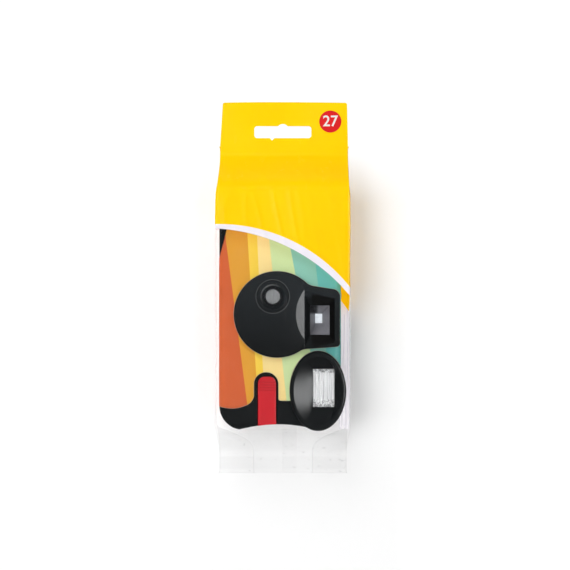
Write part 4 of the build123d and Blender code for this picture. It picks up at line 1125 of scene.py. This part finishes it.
@dataclass
class Pouch:
    """The printed film pouch: header, shoulder with folded gussets, sleeve, back seam and lower end."""

    # The film's own places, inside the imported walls
    half_width: float = 32.2
    front: float = -17.3
    back: float = 18.3
    sleeve_high: float = -26.0
    sleeve_low: float = -144.6
    header_x0: float = -29.0
    header_x1: float = 31.1
    foot_x0: float = -30.6
    foot_x1: float = 31.8
    corner_room: float = 0.35
    header_low: float = -9.0
    header_high: float = 14.2
    weld: float = -155.5
    flap_low: float = -165.1
    flap_x0: float = -30.8
    flap_x1: float = 31.0
    half_thickness: float = 0.42
    weld_lap: float = 2.0
    # The red disc and its figures
    disc_x: float = 22.99
    disc_z: float = 5.11
    disc_radius: float = 5.35
    disc_sides: int = 64
    disc_lift: float = 0.02
    disc_thickness: float = 0.03
    figure_size: float = 7.4
    figure_lift: float = 0.075
    # The header's grid, and how its sheet thins, lifts and waves
    header_columns: int = 30
    header_rows: int = 12
    header_thinning: float = 0.8
    header_rise: float = 0.35
    header_rise_low: float = 6.0
    header_rise_half: float = 31.0
    lean_height: float = 1.1
    lean_width: float = 34.0
    lean_length: float = 26.0
    lean_levels: tuple[float, float] = (-12.0, 2.0)
    wave_height: float = 0.25
    wave_width: float = 9.0
    wave_levels: tuple[float, float] = (-10.0, 10.0)
    ripple_fade: float = 8.0
    # How the tube flattens towards its welds
    shoulder_drop: float = 3.0
    lower_lead: float = 2.0
    widen_high: float = -46.0
    widen_low: float = -140.0
    # The film's soft swells and drawn ridges
    soft_height: float = 0.45
    soft_spread: Point = (19.0, 16.0, 42.0)
    ridge_height: float = 0.22
    ridge_spread: Point = (9.0, 9.0, 60.0)
    ridge_slant: float = 50.0
    ridge_sharpness: int = 6
    crease_middle: float = 0.15
    # The film's grid
    film_columns: int = 240
    sleeve_rows: int = 150
    lower_rows: int = 34
    sleeve_settle: float = 6.0
    lower_settle: float = 5.0
    smoothings: int = 3
    # The back seam
    seam_x: float = -0.4
    seam_width: float = 7.0
    seam_columns: int = 8
    seam_rows: int = 90
    seam_low_rows: int = 20
    seam_wander: float = 0.3
    seam_wander_length: float = 20.0
    seam_lift: float = 0.35
    seam_bulge: float = 0.25
    seam_tilt: float = 0.5

    # How far round the outline each of its corners lies
    CORNER_SHARES = (0.0, 0.18, 0.25, 0.32, 0.68, 0.75, 0.82, 1.0)

    def ripple(self, x: float, z: float) -> float:
        """Gives how far the flat header stands off its middle plane.

        Args:
            x: The place across, in millimetres.
            z: The level.

        Returns:
            The distance, in millimetres.
        """
        lean = noise.noise(Vector((x / self.lean_width, z / self.lean_length, 3.7))) * self.lean_height
        wave = self.wave_height * math.sin(x / self.wave_width + 1.0)
        return lean * smooth_step(z, *self.lean_levels) + wave * smooth_step(z, *self.wave_levels)

    def flatness(self, z: float) -> float:
        """Gives how flat the tube is pressed at one level.

        Args:
            z: The level, in millimetres.

        Returns:
            0 in the sleeve, rising to 1 at the welds.
        """
        high = smooth_step(z, self.sleeve_high - self.shoulder_drop, self.header_low)
        low = smooth_step(-z, -self.sleeve_low - self.lower_lead, -self.weld)
        return max(high, low)

    def section(self, share: float, z: float) -> tuple[float, float]:
        """Gives one point of the pouch's outline at a level.

        Args:
            share: How far round the outline, from 0 to 1, from the back's middle.
            z: The level.

        Returns:
            The point's place across and in depth.
        """
        flat = self.flatness(z)
        widen_high = smooth_step(z, self.widen_high, self.header_low)
        widen_low = smooth_step(-z, -self.widen_low, -self.weld)
        x0 = -self.half_width - self.corner_room + (self.half_width + self.foot_x0) * widen_high
        x1 = self.half_width + self.corner_room + (self.foot_x1 - self.half_width) * widen_high
        x0 += (self.flap_x0 + self.half_width) * widen_low
        x1 += (self.flap_x1 - self.half_width) * widen_low
        middle = (self.front + self.back) / 2 * (1 - flat)
        half = (self.back - self.front) / 2
        depth = half * (1 - flat) + self.half_thickness * flat
        fold = math.sqrt(max(0.0, half * half - depth * depth))
        centre = (x0 + x1) / 2
        corners = [
            (centre, depth), (x0, depth), (x0 + fold, 0.0), (x0, -depth), (x1, -depth), (x1 - fold, 0.0),
            (x1, depth), (centre, depth),
        ]
        shares = self.CORNER_SHARES
        index = 0
        while index < len(shares) - 2 and share > shares[index + 1]:
            index += 1
        part = (share - shares[index]) / (shares[index + 1] - shares[index])
        (ax, ay), (bx, by) = corners[index], corners[index + 1]
        return ax + (bx - ax) * part, ay + (by - ay) * part + middle

    def crease(self, x: float, y: float, z: float) -> float:
        """Gives how far the film stands out at a place.

        Args:
            x: The place across, in millimetres.
            y: Its depth.
            z: Its level.

        Returns:
            The distance, in millimetres, which is negative where it stands in.
        """
        wide, deep, long = self.soft_spread
        soft = noise.noise(Vector((x / wide, y / deep, z / long))) * self.soft_height
        wide, deep, long = self.ridge_spread
        drawn = noise.noise(Vector((x / wide + z / self.ridge_slant, y / deep, z / long + 5.0)))
        ridge = (1 - abs(drawn)) ** self.ridge_sharpness * self.ridge_height
        return soft + ridge - self.crease_middle

    def film_form(self, z_high: float, z_low: float, rows: int, settle: float) -> bmesh.types.BMesh:
        """Makes one stretch of the tube of film, with rounded folds and soft creases.

        Args:
            z_high: Its upper level.
            z_low: Its lower level.
            rows: How many rows of faces it has.
            settle: How far from each end the creases fade, in millimetres.

        Returns:
            The form.
        """
        def place(share: float, drop: float) -> Point:
            """Gives a point of the tube.

            Args:
                share: How far round the outline, from 0 to 1.
                drop: How far down the stretch, from 0 to 1.

            Returns:
                The point, in millimetres.
            """
            z = z_high + (z_low - z_high) * drop
            x, y = self.section(share, z)
            return x, y, z

        form = shape_grid(self.film_columns, rows, place, joined=True)
        inner = [vert for vert in form.verts if not vert.is_boundary]
        for _ in range(self.smoothings):
            bmesh.ops.smooth_vert(form, verts=inner, factor=0.5, use_axis_x=True, use_axis_y=True)
        form.normal_update()
        front = min(form.faces, key=lambda face: face.calc_center_median().y)
        if front.normal.y > 0:
            bmesh.ops.reverse_faces(form, faces=form.faces)
            form.normal_update()
        shifts = []
        for vert in form.verts:
            x, y, z = vert.co / MM
            ends = smooth_step(z_high - z, 0, settle) * smooth_step(z - z_low, 0, settle)
            ends *= 1 - self.flatness(z) * 0.96
            shifts.append((vert, vert.normal * (self.crease(x, y, z) * ends * MM)))
        for vert, shift in shifts:
            vert.co += shift
        return form

    def build_header(self, frame: dict, film: bpy.types.Material) -> None:
        """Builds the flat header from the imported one, with its slot, and lets it ripple.

        Args:
            frame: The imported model.
            film: The printed film.
        """
        form = copy_of_node(frame, "header_panel")
        for index in range(1, self.header_columns):
            x = self.header_x0 + (self.header_x1 - self.header_x0) * index / self.header_columns
            bmesh.ops.bisect_plane(form, geom=[*form.verts, *form.edges, *form.faces],
                                   plane_co=(x * MM, 0, 0), plane_no=(1, 0, 0))
        for index in range(1, self.header_rows):
            z = self.header_low + (self.header_high - self.header_low) * index / self.header_rows
            bmesh.ops.bisect_plane(form, geom=[*form.verts, *form.edges, *form.faces],
                                   plane_co=(0, 0, z * MM), plane_no=(0, 0, 1))
        for vert in form.verts:
            x, _, z = vert.co / MM
            vert.co.y = vert.co.y * self.header_thinning + self.ripple(x, z) * MM
            top = smooth_step(z, self.header_rise_low, self.header_high)
            vert.co.z += self.header_rise * top * (1 - (x / self.header_rise_half) ** 2) * MM
        piece = finish_piece("pouch_header", form, film, "pouch", smooth=False)
        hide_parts("header_panel")

    def build_disc(self, red: bpy.types.Material, white: bpy.types.Material) -> None:
        """Builds the red disc with its count of pictures on the header.

        Args:
            red: The disc's ink.
            white: The figures' ink.
        """
        form = bmesh.new()
        bmesh.ops.create_circle(form, cap_ends=True, cap_tris=True, segments=self.disc_sides,
                                radius=self.disc_radius * MM)
        for vert in form.verts:
            x, z = vert.co.x / MM + self.disc_x, vert.co.y / MM + self.disc_z
            vert.co = Vector((x, self.ripple(x, z) - self.half_thickness - self.disc_lift, z)) * MM
        rim = bmesh.ops.extrude_face_region(form, geom=form.faces[:])
        bmesh.ops.translate(form, vec=(0, -self.disc_thickness * MM, 0),
                            verts=[part for part in rim["geom"] if isinstance(part, bmesh.types.BMVert)])
        finish_piece("count_disc", form, red, "pouch", smooth=False)
        turn = Matrix.Translation(Vector((self.disc_x, 0, self.disc_z)) * MM) @ Matrix.Rotation(
            math.pi / 2, 4, "X")
        figures = letters("27", self.figure_size, turn)
        for vert in figures.verts:
            x, _, z = vert.co / MM
            vert.co.y += (self.ripple(x, z) - self.half_thickness - self.figure_lift) * MM
        finish_piece("count_figures", figures, white, "pouch", smooth=False)

    def build_sleeve(self, film: bpy.types.Material) -> None:
        """Builds the shoulder and sleeve as one sheet of film.

        Args:
            film: The printed and clear film.
        """
        form = self.film_form(self.header_low + self.weld_lap, self.sleeve_low, self.sleeve_rows,
                              self.sleeve_settle)
        for vert in form.verts:
            x, _, z = vert.co / MM
            near = smooth_step(z, self.header_low - self.ripple_fade, self.header_low)
            vert.co.y += self.ripple(x, z) * near * MM
        piece = finish_piece("pouch_sleeve", form, film, "pouch", outward=False)
        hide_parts("printed_film", "clear_film")

    def build_lower_end(self, film: bpy.types.Material) -> None:
        """Builds the closing lower end with its welded flap.

        Args:
            film: The welded film.
        """
        form = self.film_form(self.sleeve_low, self.flap_low, self.lower_rows, self.lower_settle)
        piece = finish_piece("pouch_lower_end", form, film, "pouch", outward=False)
        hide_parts("bottom_seal")
        self.give_way(piece)

    def build_seam(self, film: bpy.types.Material) -> None:
        """Builds the back seam: a doubled strip down the sleeve's back.

        Args:
            film: The welded film.
        """
        sleeve = self.seam_strip(self.sleeve_high, self.sleeve_low, self.seam_rows)
        finish_piece("pouch_seam", sleeve, film, "pouch")
        lower = self.seam_strip(self.sleeve_low, self.flap_low, self.seam_low_rows)
        self.give_way(finish_piece("pouch_seam_low", lower, film, "pouch"))

    def seam_strip(self, z_high: float, z_low: float, rows: int) -> bmesh.types.BMesh:
        """Makes one stretch of the seam, a little bowed and lifted off the back.

        Args:
            z_high: Its upper level.
            z_low: Its lower level.
            rows: How many rows of faces it has.

        Returns:
            The form.
        """
        def place(share: float, drop: float) -> Point:
            """Gives a point of the strip.

            Args:
                share: How far across the strip, from 0 to 1.
                drop: How far down the stretch, from 0 to 1.

            Returns:
                The point, in millimetres.
            """
            z = z_high + (z_low - z_high) * drop
            wander = self.seam_wander * noise.noise(Vector((0.0, 1.0, z / self.seam_wander_length)))
            lift = self.seam_lift + self.seam_bulge * math.sin(share * math.pi)
            y = self.section(0.0, z)[1] + lift + self.seam_tilt * share
            return self.seam_x + self.seam_width * share + wander, y, z

        return shape_grid(self.seam_columns, rows, place)

    def give_way(self, piece: bpy.types.Object) -> None:
        """Gives a piece of the lower end its own copy of its mesh."""
        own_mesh(piece)

    def build(self, frame: dict) -> None:
        """Builds every piece of the pouch.

        Args:
            frame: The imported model.
        """
        film = PouchFilm("pouch_print").make()
        welded = WeldedFilm("pouch_weld").make()
        self.build_header(frame, film)
        self.build_disc(PrintedInk("disc_red", from_print(228, 22, 28)).make(),
                        PrintedInk("figure_white", (0.86, 0.82, 0.8)).make())
        self.build_sleeve(film)
        self.build_lower_end(welded)
        self.build_seam(welded)


@dataclass
class Label:
    """The printed label's pale cut edge."""

    edge_width: float = 0.12
    proud: float = 0.015
    sharpest_bend: float = 35.0
    depth_weight: float = 1e6

    def build(self, frame: dict) -> None:
        """Builds a narrow pale band along every cut edge of the front and back labels.

        Args:
            frame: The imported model.
        """
        paper = PaperEdge("paper_edge").make()
        for node in ("front_label", "back_label"):
            form = copy_of_node(frame, node)
            form.normal_update()
            outer = self._outer_skin(form, -1.0 if node == "front_label" else 1.0)
            drop = [face for face in form.faces if face not in outer]
            bmesh.ops.delete(form, geom=drop, context="FACES")
            skin = form.faces[:]
            band = bmesh.ops.inset_region(form, faces=skin, thickness=self.edge_width * MM,
                                          use_boundary=True, use_even_offset=False)["faces"]
            kept = set(band)
            bmesh.ops.delete(form, geom=[face for face in form.faces if face not in kept], context="FACES")
            form.normal_update()
            for vert in form.verts:
                vert.co += vert.normal * (self.proud * MM)
            finish_piece(f"{node}_edge", form, paper, "camera", outward=False)

    def _outer_skin(self, form: bmesh.types.BMesh, way: float) -> set[bmesh.types.BMFace]:
        """Finds the label's outer skin, starting from its outermost flat face.

        Args:
            form: The label's form.
            way: Which way its main face looks along Y.

        Returns:
            The faces of the skin.
        """
        bend = math.radians(self.sharpest_bend)
        weight = way * self.depth_weight
        start = max(form.faces, key=lambda face: weight * face.calc_center_median().y + face.calc_area())
        found = {start}
        queue = [start]
        while queue:
            face = queue.pop()
            for edge in face.edges:
                for other in edge.link_faces:
                    if other not in found and edge.calc_face_angle(math.pi) < bend:
                        found.add(other)
                        queue.append(other)
        return found


@dataclass
class Viewfinder:
    """The viewfinder's inner mask, and a glowing patch painted as the small bright field of a reversed
    finder.
    """

    middle_x: float = 17.8
    middle_z: float = -90.85
    half_width: float = 4.78
    half_length: float = 7.13
    opening_x: float = 17.4
    opening_z: float = -90.2
    opening_width: float = 3.5
    opening_length: float = 4.6
    depth: float = -6.8
    opening_depth: float = 9.0
    field_depth: float = 8.8
    mask_thickness: float = 0.12
    field_thickness: float = 0.1

    CORNERS = ((-1, -1), (1, -1), (1, 1), (-1, 1))

    def build(self) -> None:
        """Builds the mask that narrows between the two finder lenses, and the glowing painted field at its
        end.
        """
        tray = bmesh.new()
        rings = []
        for x, z, half_width, half_length, depth in (
            (self.middle_x, self.middle_z, self.half_width, self.half_length, self.depth),
            (self.opening_x, self.opening_z, self.opening_width / 2, self.opening_length / 2,
             self.depth + self.opening_depth),
        ):
            verts = [tray.verts.new(Vector((x + right * half_width, depth, z + up * half_length)) * MM)
                     for right, up in self.CORNERS]
            rings.append([tray.edges.new((verts[i - 1], verts[i])) for i in (1, 2, 3, 0)])
        bmesh.ops.bridge_loops(tray, edges=[*rings[0], *rings[1]])
        bmesh.ops.solidify(tray, geom=tray.faces[:], thickness=self.mask_thickness * MM)
        grey = FinderTray("finder_grey").make()
        finish_piece("viewfinder_mask", tray, grey, "camera", smooth=False)

        def place(share_x: float, share_z: float) -> Point:
            """Gives a point of the bright field, in millimetres, from its shares across and up."""
            return (self.opening_x + self.opening_width * (share_x - 0.5), self.depth + self.field_depth,
                    self.opening_z + self.opening_length * (share_z - 0.5))

        field = shape_grid(2, 2, place)
        bmesh.ops.solidify(field, geom=field.faces[:], thickness=self.field_thickness * MM)
        bright = PaintedGlowField("finder_painted_glow").make()
        finish_piece("viewfinder_field", field, bright, "camera", smooth=False)


@dataclass
class FlashFace:
    """The flash's clear window with its upright ribs and its prismed ends."""

    x0: float = 14.6
    x1: float = 24.7
    z0: float = -132.6
    z1: float = -114.3
    front: float = -12.3
    back: float = -10.0
    rib_count: int = 7
    rib_depth: float = 0.34
    face_gap: float = 0.12
    prism_length: float = 2.2
    prism_blur: float = 0.3
    prism_share: float = 1.3
    prism_turn_x: float = 3.1
    prism_turn_z: float = 3.4
    border: float = 0.35
    columns: int = 84
    rows: int = 120

    def build(self) -> None:
        """Builds the ribbed window in place of the plain one."""
        def place(share_x: float, share_z: float) -> Point:
            """Gives a point of the window's face.

            Args:
                share_x: How far across the window, from 0 to 1.
                share_z: How far up it, from 0 to 1.

            Returns:
                The point, in millimetres.
            """
            x = self.x0 + (self.x1 - self.x0) * share_x
            z = self.z0 + (self.z1 - self.z0) * share_z
            end = min(z - self.z0, self.z1 - z)
            rib = abs(math.sin(share_x * math.pi * self.rib_count)) * self.rib_depth
            prism = abs(math.sin(end * self.prism_turn_z) * math.sin(x * self.prism_turn_x))
            prism = prism * self.rib_depth * self.prism_share
            near = smooth_step(end, self.prism_length - self.prism_blur, self.prism_length + self.prism_blur)
            edge = smooth_step(min(end, x - self.x0, self.x1 - x), 0.0, self.border)
            raised = (rib * near + prism * (1 - near)) * edge
            return x, self.front + self.rib_depth + self.face_gap - raised, z

        form = shape_grid(self.columns, self.rows, place)
        walls = bmesh.ops.extrude_face_region(form, geom=form.faces[:])
        for part in walls["geom"]:
            if isinstance(part, bmesh.types.BMVert):
                part.co.y = self.back * MM
        clear = RibbedWindow("flash_clear").make()
        piece = finish_piece("flash_ribbed_window", form, clear, "camera", smooth=False)
        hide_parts("flash_window")


@dataclass
class CounterDial:
    """The figures round the frame counter's dial."""

    face_x: float = 22.8
    y: float = 1.0
    z: float = -73.5
    radius: float = 5.7
    size: float = 1.9
    lift: float = 0.02
    count: int = 10
    first: int = 27
    step: int = 3

    def build(self) -> None:
        """Builds a figure for every third picture, counting down to 0."""
        ink = PrintedInk("dial_ink", (0.02, 0.02, 0.02)).make()
        facing = Matrix.Rotation(math.pi / 2, 4, "Y") @ Matrix.Rotation(math.pi / 2, 4, "Z")
        for index in range(self.count):
            angle = -2 * math.pi * index / self.count
            up = Vector((0, math.sin(angle), -math.cos(angle))) * self.radius
            place = Matrix.Translation(Vector((self.face_x + self.lift, self.y + up.y, self.z + up.z)) * MM)
            turn = Matrix.Rotation(math.pi + angle, 4, "X")
            number = str(self.first - index * self.step)
            figures = letters(number, self.size, place @ turn @ facing)
            finish_piece(f"dial_figure_{index}", figures, ink, "frame_counter", smooth=False)


@dataclass
class Finishes:
    """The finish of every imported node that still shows."""

    black: Colour = (0.0032, 0.0044, 0.005)

    def build(self, frame: dict) -> None:
        """Makes the finishes and gives each node its own.

        Args:
            frame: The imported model.
        """
        shell = CaseShell("shell_black", self.black, roughness=0.34, sheen=0.02)
        inner = MouldedPlastic("inner_black", (0.024, 0.025, 0.027), roughness=0.55)
        button = MouldedPlastic("button_black", (0.03, 0.032, 0.035), roughness=0.34, grain=0.25)
        steel = PlainMetal("plain_steel", (0.56, 0.57, 0.6))
        brass = PlainMetal("plain_brass", (0.72, 0.54, 0.24))
        sleeve = MouldedPlastic("sleeve_black", (0.018, 0.018, 0.02), roughness=0.25, grain=1.2)
        copper = WoundRoll("copper_turns", (0.55, 0.24, 0.09), pitch=0.35, metallic=0.8)
        film = WoundRoll("film_layers", (0.13, 0.075, 0.06), pitch=0.9, gloss=0.22)
        can = PrintedCan("can_print", (0.72, 0.7, 0.06), (0.05, 0.05, 0.05), low=-28.0, high=-20.0)
        cell = PrintedCan("cell_print", (0.03, 0.035, 0.04), (0.62, 0.4, 0.12), low=-76.0, high=-62.0,
                          upright=True)
        table = {
            shell: ("front_cover", "rear_cover", "film_door", "battery_door"),
            inner: ("chassis", "release_lever", "cartridge_spool", "film_core", "sprocket_shaft",
                    "wheel_pawl"),
            button: ("shutter_button", "advance_wheel"),
            LensRing("ring_black", (0.006, 0.007, 0.008), roughness=0.3): ("lens_ring",),
            StripedPrint("striped_label"): ("front_label", "back_label"),
            RidgedPlastic("switch_red", from_print(200, 38, 47), roughness=0.4): ("flash_switch",),
            steel: ("lever_spring", "shutter_spring", "shutter_blade", "cartridge_caps"),
            brass: ("switch_contact", "sync_contact", "battery_contact_minus", "battery_contact_plus"),
            # Painted reflection: the lens is mostly opaque grey, with soft upright streaks
            ClearPart("lens_clear", (0.21, 0.22, 0.23), body=0.7, roughness=0.12, grain=1.3,
                      stretch=(1.0, 1.0, 6.0)): ("lens",),
            ClearPart("finder_clear", (0.2, 0.2, 0.22), body=0.0, paler=(0.3, 0.3, 0.33)):
                ("viewfinder_lens",),
            ClearPart("eyepiece_clear", (0.9, 0.9, 0.92), body=0.03): ("viewfinder_eyepiece",),
            ClearPart("dial_window", (0.85, 0.87, 0.9), body=0.1): ("counter_window",),
            ClearPart("tube_glass", (0.93, 0.93, 0.95), body=0.35): ("flash_tube", "ready_lamp"),
            ClearPart("amber_pipe", (0.85, 0.3, 0.04), body=0.75): ("ready_light_pipe",),
            PlainMetal("mirror_metal", (0.93, 0.94, 0.95), roughness=0.12, line=(1.0, 1.0, 1.0)):
                ("flash_reflector",),
            LacqueredBoard("board_green"): ("flash_board",),
            sleeve: ("flash_capacitor", "transistor"),
            copper: ("transformer", "trigger_coil"),
            MouldedPlastic("resistor_tan", (0.5, 0.33, 0.16), roughness=0.3, grain=0.6): ("resistors",),
            can: ("cartridge_shell",),
            film: ("film_strip", "film_roll"),
            MouldedPlastic("dial_white", (0.78, 0.78, 0.75), roughness=0.4): ("frame_counter",),
            cell: ("battery",),
        }
        for finish, nodes in table.items():
            material = finish.make()
            for node in nodes:
                for slot in frame["nodes"][node].material_slots:
                    slot.material = material
            LOG.info("%s on %s", finish.name, ", ".join(nodes))


@dataclass(frozen=True)
class Lamp:
    """A soft square lamp, with its place and side in millimetres and its power in watts."""

    name: str
    place: Point
    side: float
    power: float
    use: LampUse

    def build(self, aim: Point) -> None:
        """Adds the lamp, turned to a point.

        Args:
            aim: The point, in millimetres.
        """
        data = bpy.data.lights.new(self.name, "AREA")
        data.size = self.side * MM
        data.energy = self.power
        lamp = bpy.data.objects.new(self.name, data)
        lamp.location = Vector(self.place) * MM
        way = Vector(aim) * MM - lamp.location
        lamp.rotation_euler = way.to_track_quat("-Z", "Y").to_euler()
        lamp.visible_camera = False
        lamp.visible_glossy = self.use is LampUse.GLOSSY
        lamp.visible_diffuse = self.use is LampUse.MATT
        bpy.context.scene.collection.objects.link(lamp)


@dataclass
class Studio:
    """The pale wall and floor, the soft lamps and the camera that looks straight on."""

    aim: Point = (1.06, -6.0, -74.0)
    distance: float = 1250.0
    view_width: float = 274.7
    sensor: float = 36.0
    wall_y: float = 21.5
    wall_half: float = 450.0
    floor_z: float = -620.0
    floor_half: float = 4000.0
    paleness: float = 0.93
    daylight: float = 0.17
    glow: float = 1.05
    # Where the wall's own light rises, painted light over the shadows beside the header and below the
    # object, and far to the sides
    header_glow_z: float = -34.0
    header_glow_rise: float = 26.0
    foot_glow_z: float = -136.0
    foot_glow_rise: float = 14.0
    foot_glow_share: float = 0.25
    side_glow_x: float = 8.0
    side_glow_half: float = 48.0
    side_glow_rise: float = 18.0

    LAMPS = (
        Lamp("key_lamp", (-430.0, -1180.0, 20.0), side=490.0, power=8.2, use=LampUse.MATT),
        Lamp("top_lamp", (-250.0, -750.0, 650.0), side=500.0, power=4.6, use=LampUse.MATT),
        Lamp("side_lamp", (820.0, -960.0, -110.0), side=420.0, power=42.0, use=LampUse.GLOSSY),
        Lamp("low_lamp", (-120.0, -560.0, -860.0), side=520.0, power=65.0, use=LampUse.GLOSSY),
        Lamp("back_lamp", (300.0, 1100.0, 400.0), side=700.0, power=9.5, use=LampUse.MATT),
    )

    def pale(self, name: str, low_share: float, high_share: float, lets_lamps: bool) -> bpy.types.Material:
        """Makes the pale paint of the wall or the floor, see-through from behind.

        Args:
            name: The paint's name.
            low_share: How much of its own light it shows below the header.
            high_share: How much of its own light it shows beside the header.
            lets_lamps: Whether the lamps behind it light the object's back.

        Returns:
            The paint.
        """
        recipe = Recipe(name)
        grain = recipe.spots(30.0, detail=2.0)
        recipe.dress(
            Base_Color=recipe.mix(grain * 0.2, (self.paleness,) * 3, (self.paleness * 0.97,) * 3),
            Roughness=0.9,
            Specular_IOR_Level=0.1,
        )
        path = recipe.add("ShaderNodeLightPath").outputs
        across, _, up = recipe.axes()
        # Painted light: the wall glows more beside the header and below the object, where their shadows
        # fall, and far to the sides
        beside = ((up - self.header_glow_z) / self.header_glow_rise).held()
        below = ((up * -1.0 + self.foot_glow_z) / self.foot_glow_rise).held()
        far = (((across - self.side_glow_x).size() - self.side_glow_half) / self.side_glow_rise).held()
        share = beside * (high_share - low_share) + low_share
        share = (share + below * self.foot_glow_share + far).held()
        glow = recipe.add("ShaderNodeEmission", {}, {"Color": (1.0, 1.0, 1.0), "Strength": self.glow})
        lit = recipe.add("ShaderNodeMixShader", {}, {
            0: recipe.seen() * share, 1: recipe.shader.outputs[0], 2: glow.outputs[0],
        })
        clear = recipe.add("ShaderNodeBsdfTransparent")
        behind = Value(recipe, recipe.add("ShaderNodeNewGeometry").outputs["Backfacing"])
        open_to = behind.highest(Value(recipe, path["Is Shadow Ray"]) * float(lets_lamps))
        result = recipe.add("ShaderNodeMixShader", {}, {0: open_to, 1: lit.outputs[0], 2: clear.outputs[0]})
        recipe.tree.links.new(result.outputs[0], recipe.output.inputs["Surface"])
        return recipe.material

    def panel(self, name: str, half: float, turn: Matrix, paint: bpy.types.Material) -> None:
        """Adds one flat panel of the studio.

        Args:
            name: The panel's name.
            half: Half its side, in millimetres.
            turn: Where it stands, in metres.
            paint: Its paint.
        """
        form = bmesh.new()
        bmesh.ops.create_grid(form, x_segments=2, y_segments=2, size=half * MM)
        bmesh.ops.transform(form, matrix=turn, verts=form.verts)
        mesh = bpy.data.meshes.new(name)
        form.to_mesh(mesh)
        form.free()
        mesh.materials.append(paint)
        panel = bpy.data.objects.new(name, mesh)
        bpy.context.scene.collection.objects.link(panel)

    def sky(self) -> bpy.types.World:
        """Makes the pale surroundings: white to the eye, and dimmer as light.

        Returns:
            The world.
        """
        world = bpy.data.worlds.new("studio_world")
        world.use_nodes = True
        nodes, links = world.node_tree.nodes, world.node_tree.links
        nodes.clear()
        shades = []
        for strength in (self.daylight, 1.0):
            shade = nodes.new("ShaderNodeBackground")
            shade.inputs["Color"].default_value = (1.0, 1.0, 1.0, 1.0)
            shade.inputs["Strength"].default_value = strength
            shades.append(shade)
        choice = nodes.new("ShaderNodeMixShader")
        output = nodes.new("ShaderNodeOutputWorld")
        seen = nodes.new("ShaderNodeLightPath").outputs["Is Camera Ray"]
        for kind in ("Is Glossy Ray", "Is Transmission Ray"):
            either = nodes.new("ShaderNodeMath")
            either.operation = "MAXIMUM"
            links.new(seen, either.inputs[0])
            links.new(nodes.new("ShaderNodeLightPath").outputs[kind], either.inputs[1])
            seen = either.outputs[0]
        links.new(seen, choice.inputs[0])
        links.new(shades[0].outputs[0], choice.inputs[1])
        links.new(shades[1].outputs[0], choice.inputs[2])
        links.new(choice.outputs[0], output.inputs["Surface"])
        return world

    def build(self) -> None:
        """Builds the wall, the floor, the lamps, the world and the camera."""
        scene = bpy.context.scene
        scene.view_settings.view_transform = "Standard"
        wall_paint = self.pale("wall_paint", low_share=0.3, high_share=1.0, lets_lamps=True)
        upright = Matrix.Translation(Vector((0, self.wall_y, self.aim[2])) * MM) @ Matrix.Rotation(
            math.pi / 2, 4, "X")
        self.panel("pale_wall", self.wall_half, upright, wall_paint)
        floor_paint = self.pale("floor_paint", low_share=0.5, high_share=0.5, lets_lamps=False)
        level = Matrix.Translation(Vector((0, 0, self.floor_z)) * MM)
        self.panel("pale_floor", self.floor_half, level, floor_paint)
        for lamp in self.LAMPS:
            lamp.build(self.aim)
        scene.world = self.sky()
        data = bpy.data.cameras.new("view_camera")
        data.sensor_width = self.sensor
        data.lens = data.sensor_width * self.distance / self.view_width
        data.clip_start = 0.01
        camera = bpy.data.objects.new("view_camera", data)
        camera.location = Vector((self.aim[0], self.aim[1] - self.distance, self.aim[2])) * MM
        camera.rotation_euler = (math.pi / 2, 0, 0)
        scene.collection.objects.link(camera)
        scene.camera = camera


def main() -> None:
    """Builds the studio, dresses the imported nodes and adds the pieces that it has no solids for."""
    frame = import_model()
    Studio().build()
    Finishes().build(frame)
    Label().build(frame)
    Viewfinder().build()
    FlashFace().build()
    CounterDial().build()
    Pouch().build(frame)
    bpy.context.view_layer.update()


if __name__ == "__main__":
    logging.basicConfig(level=logging.INFO, format="%(message)s")
    main()
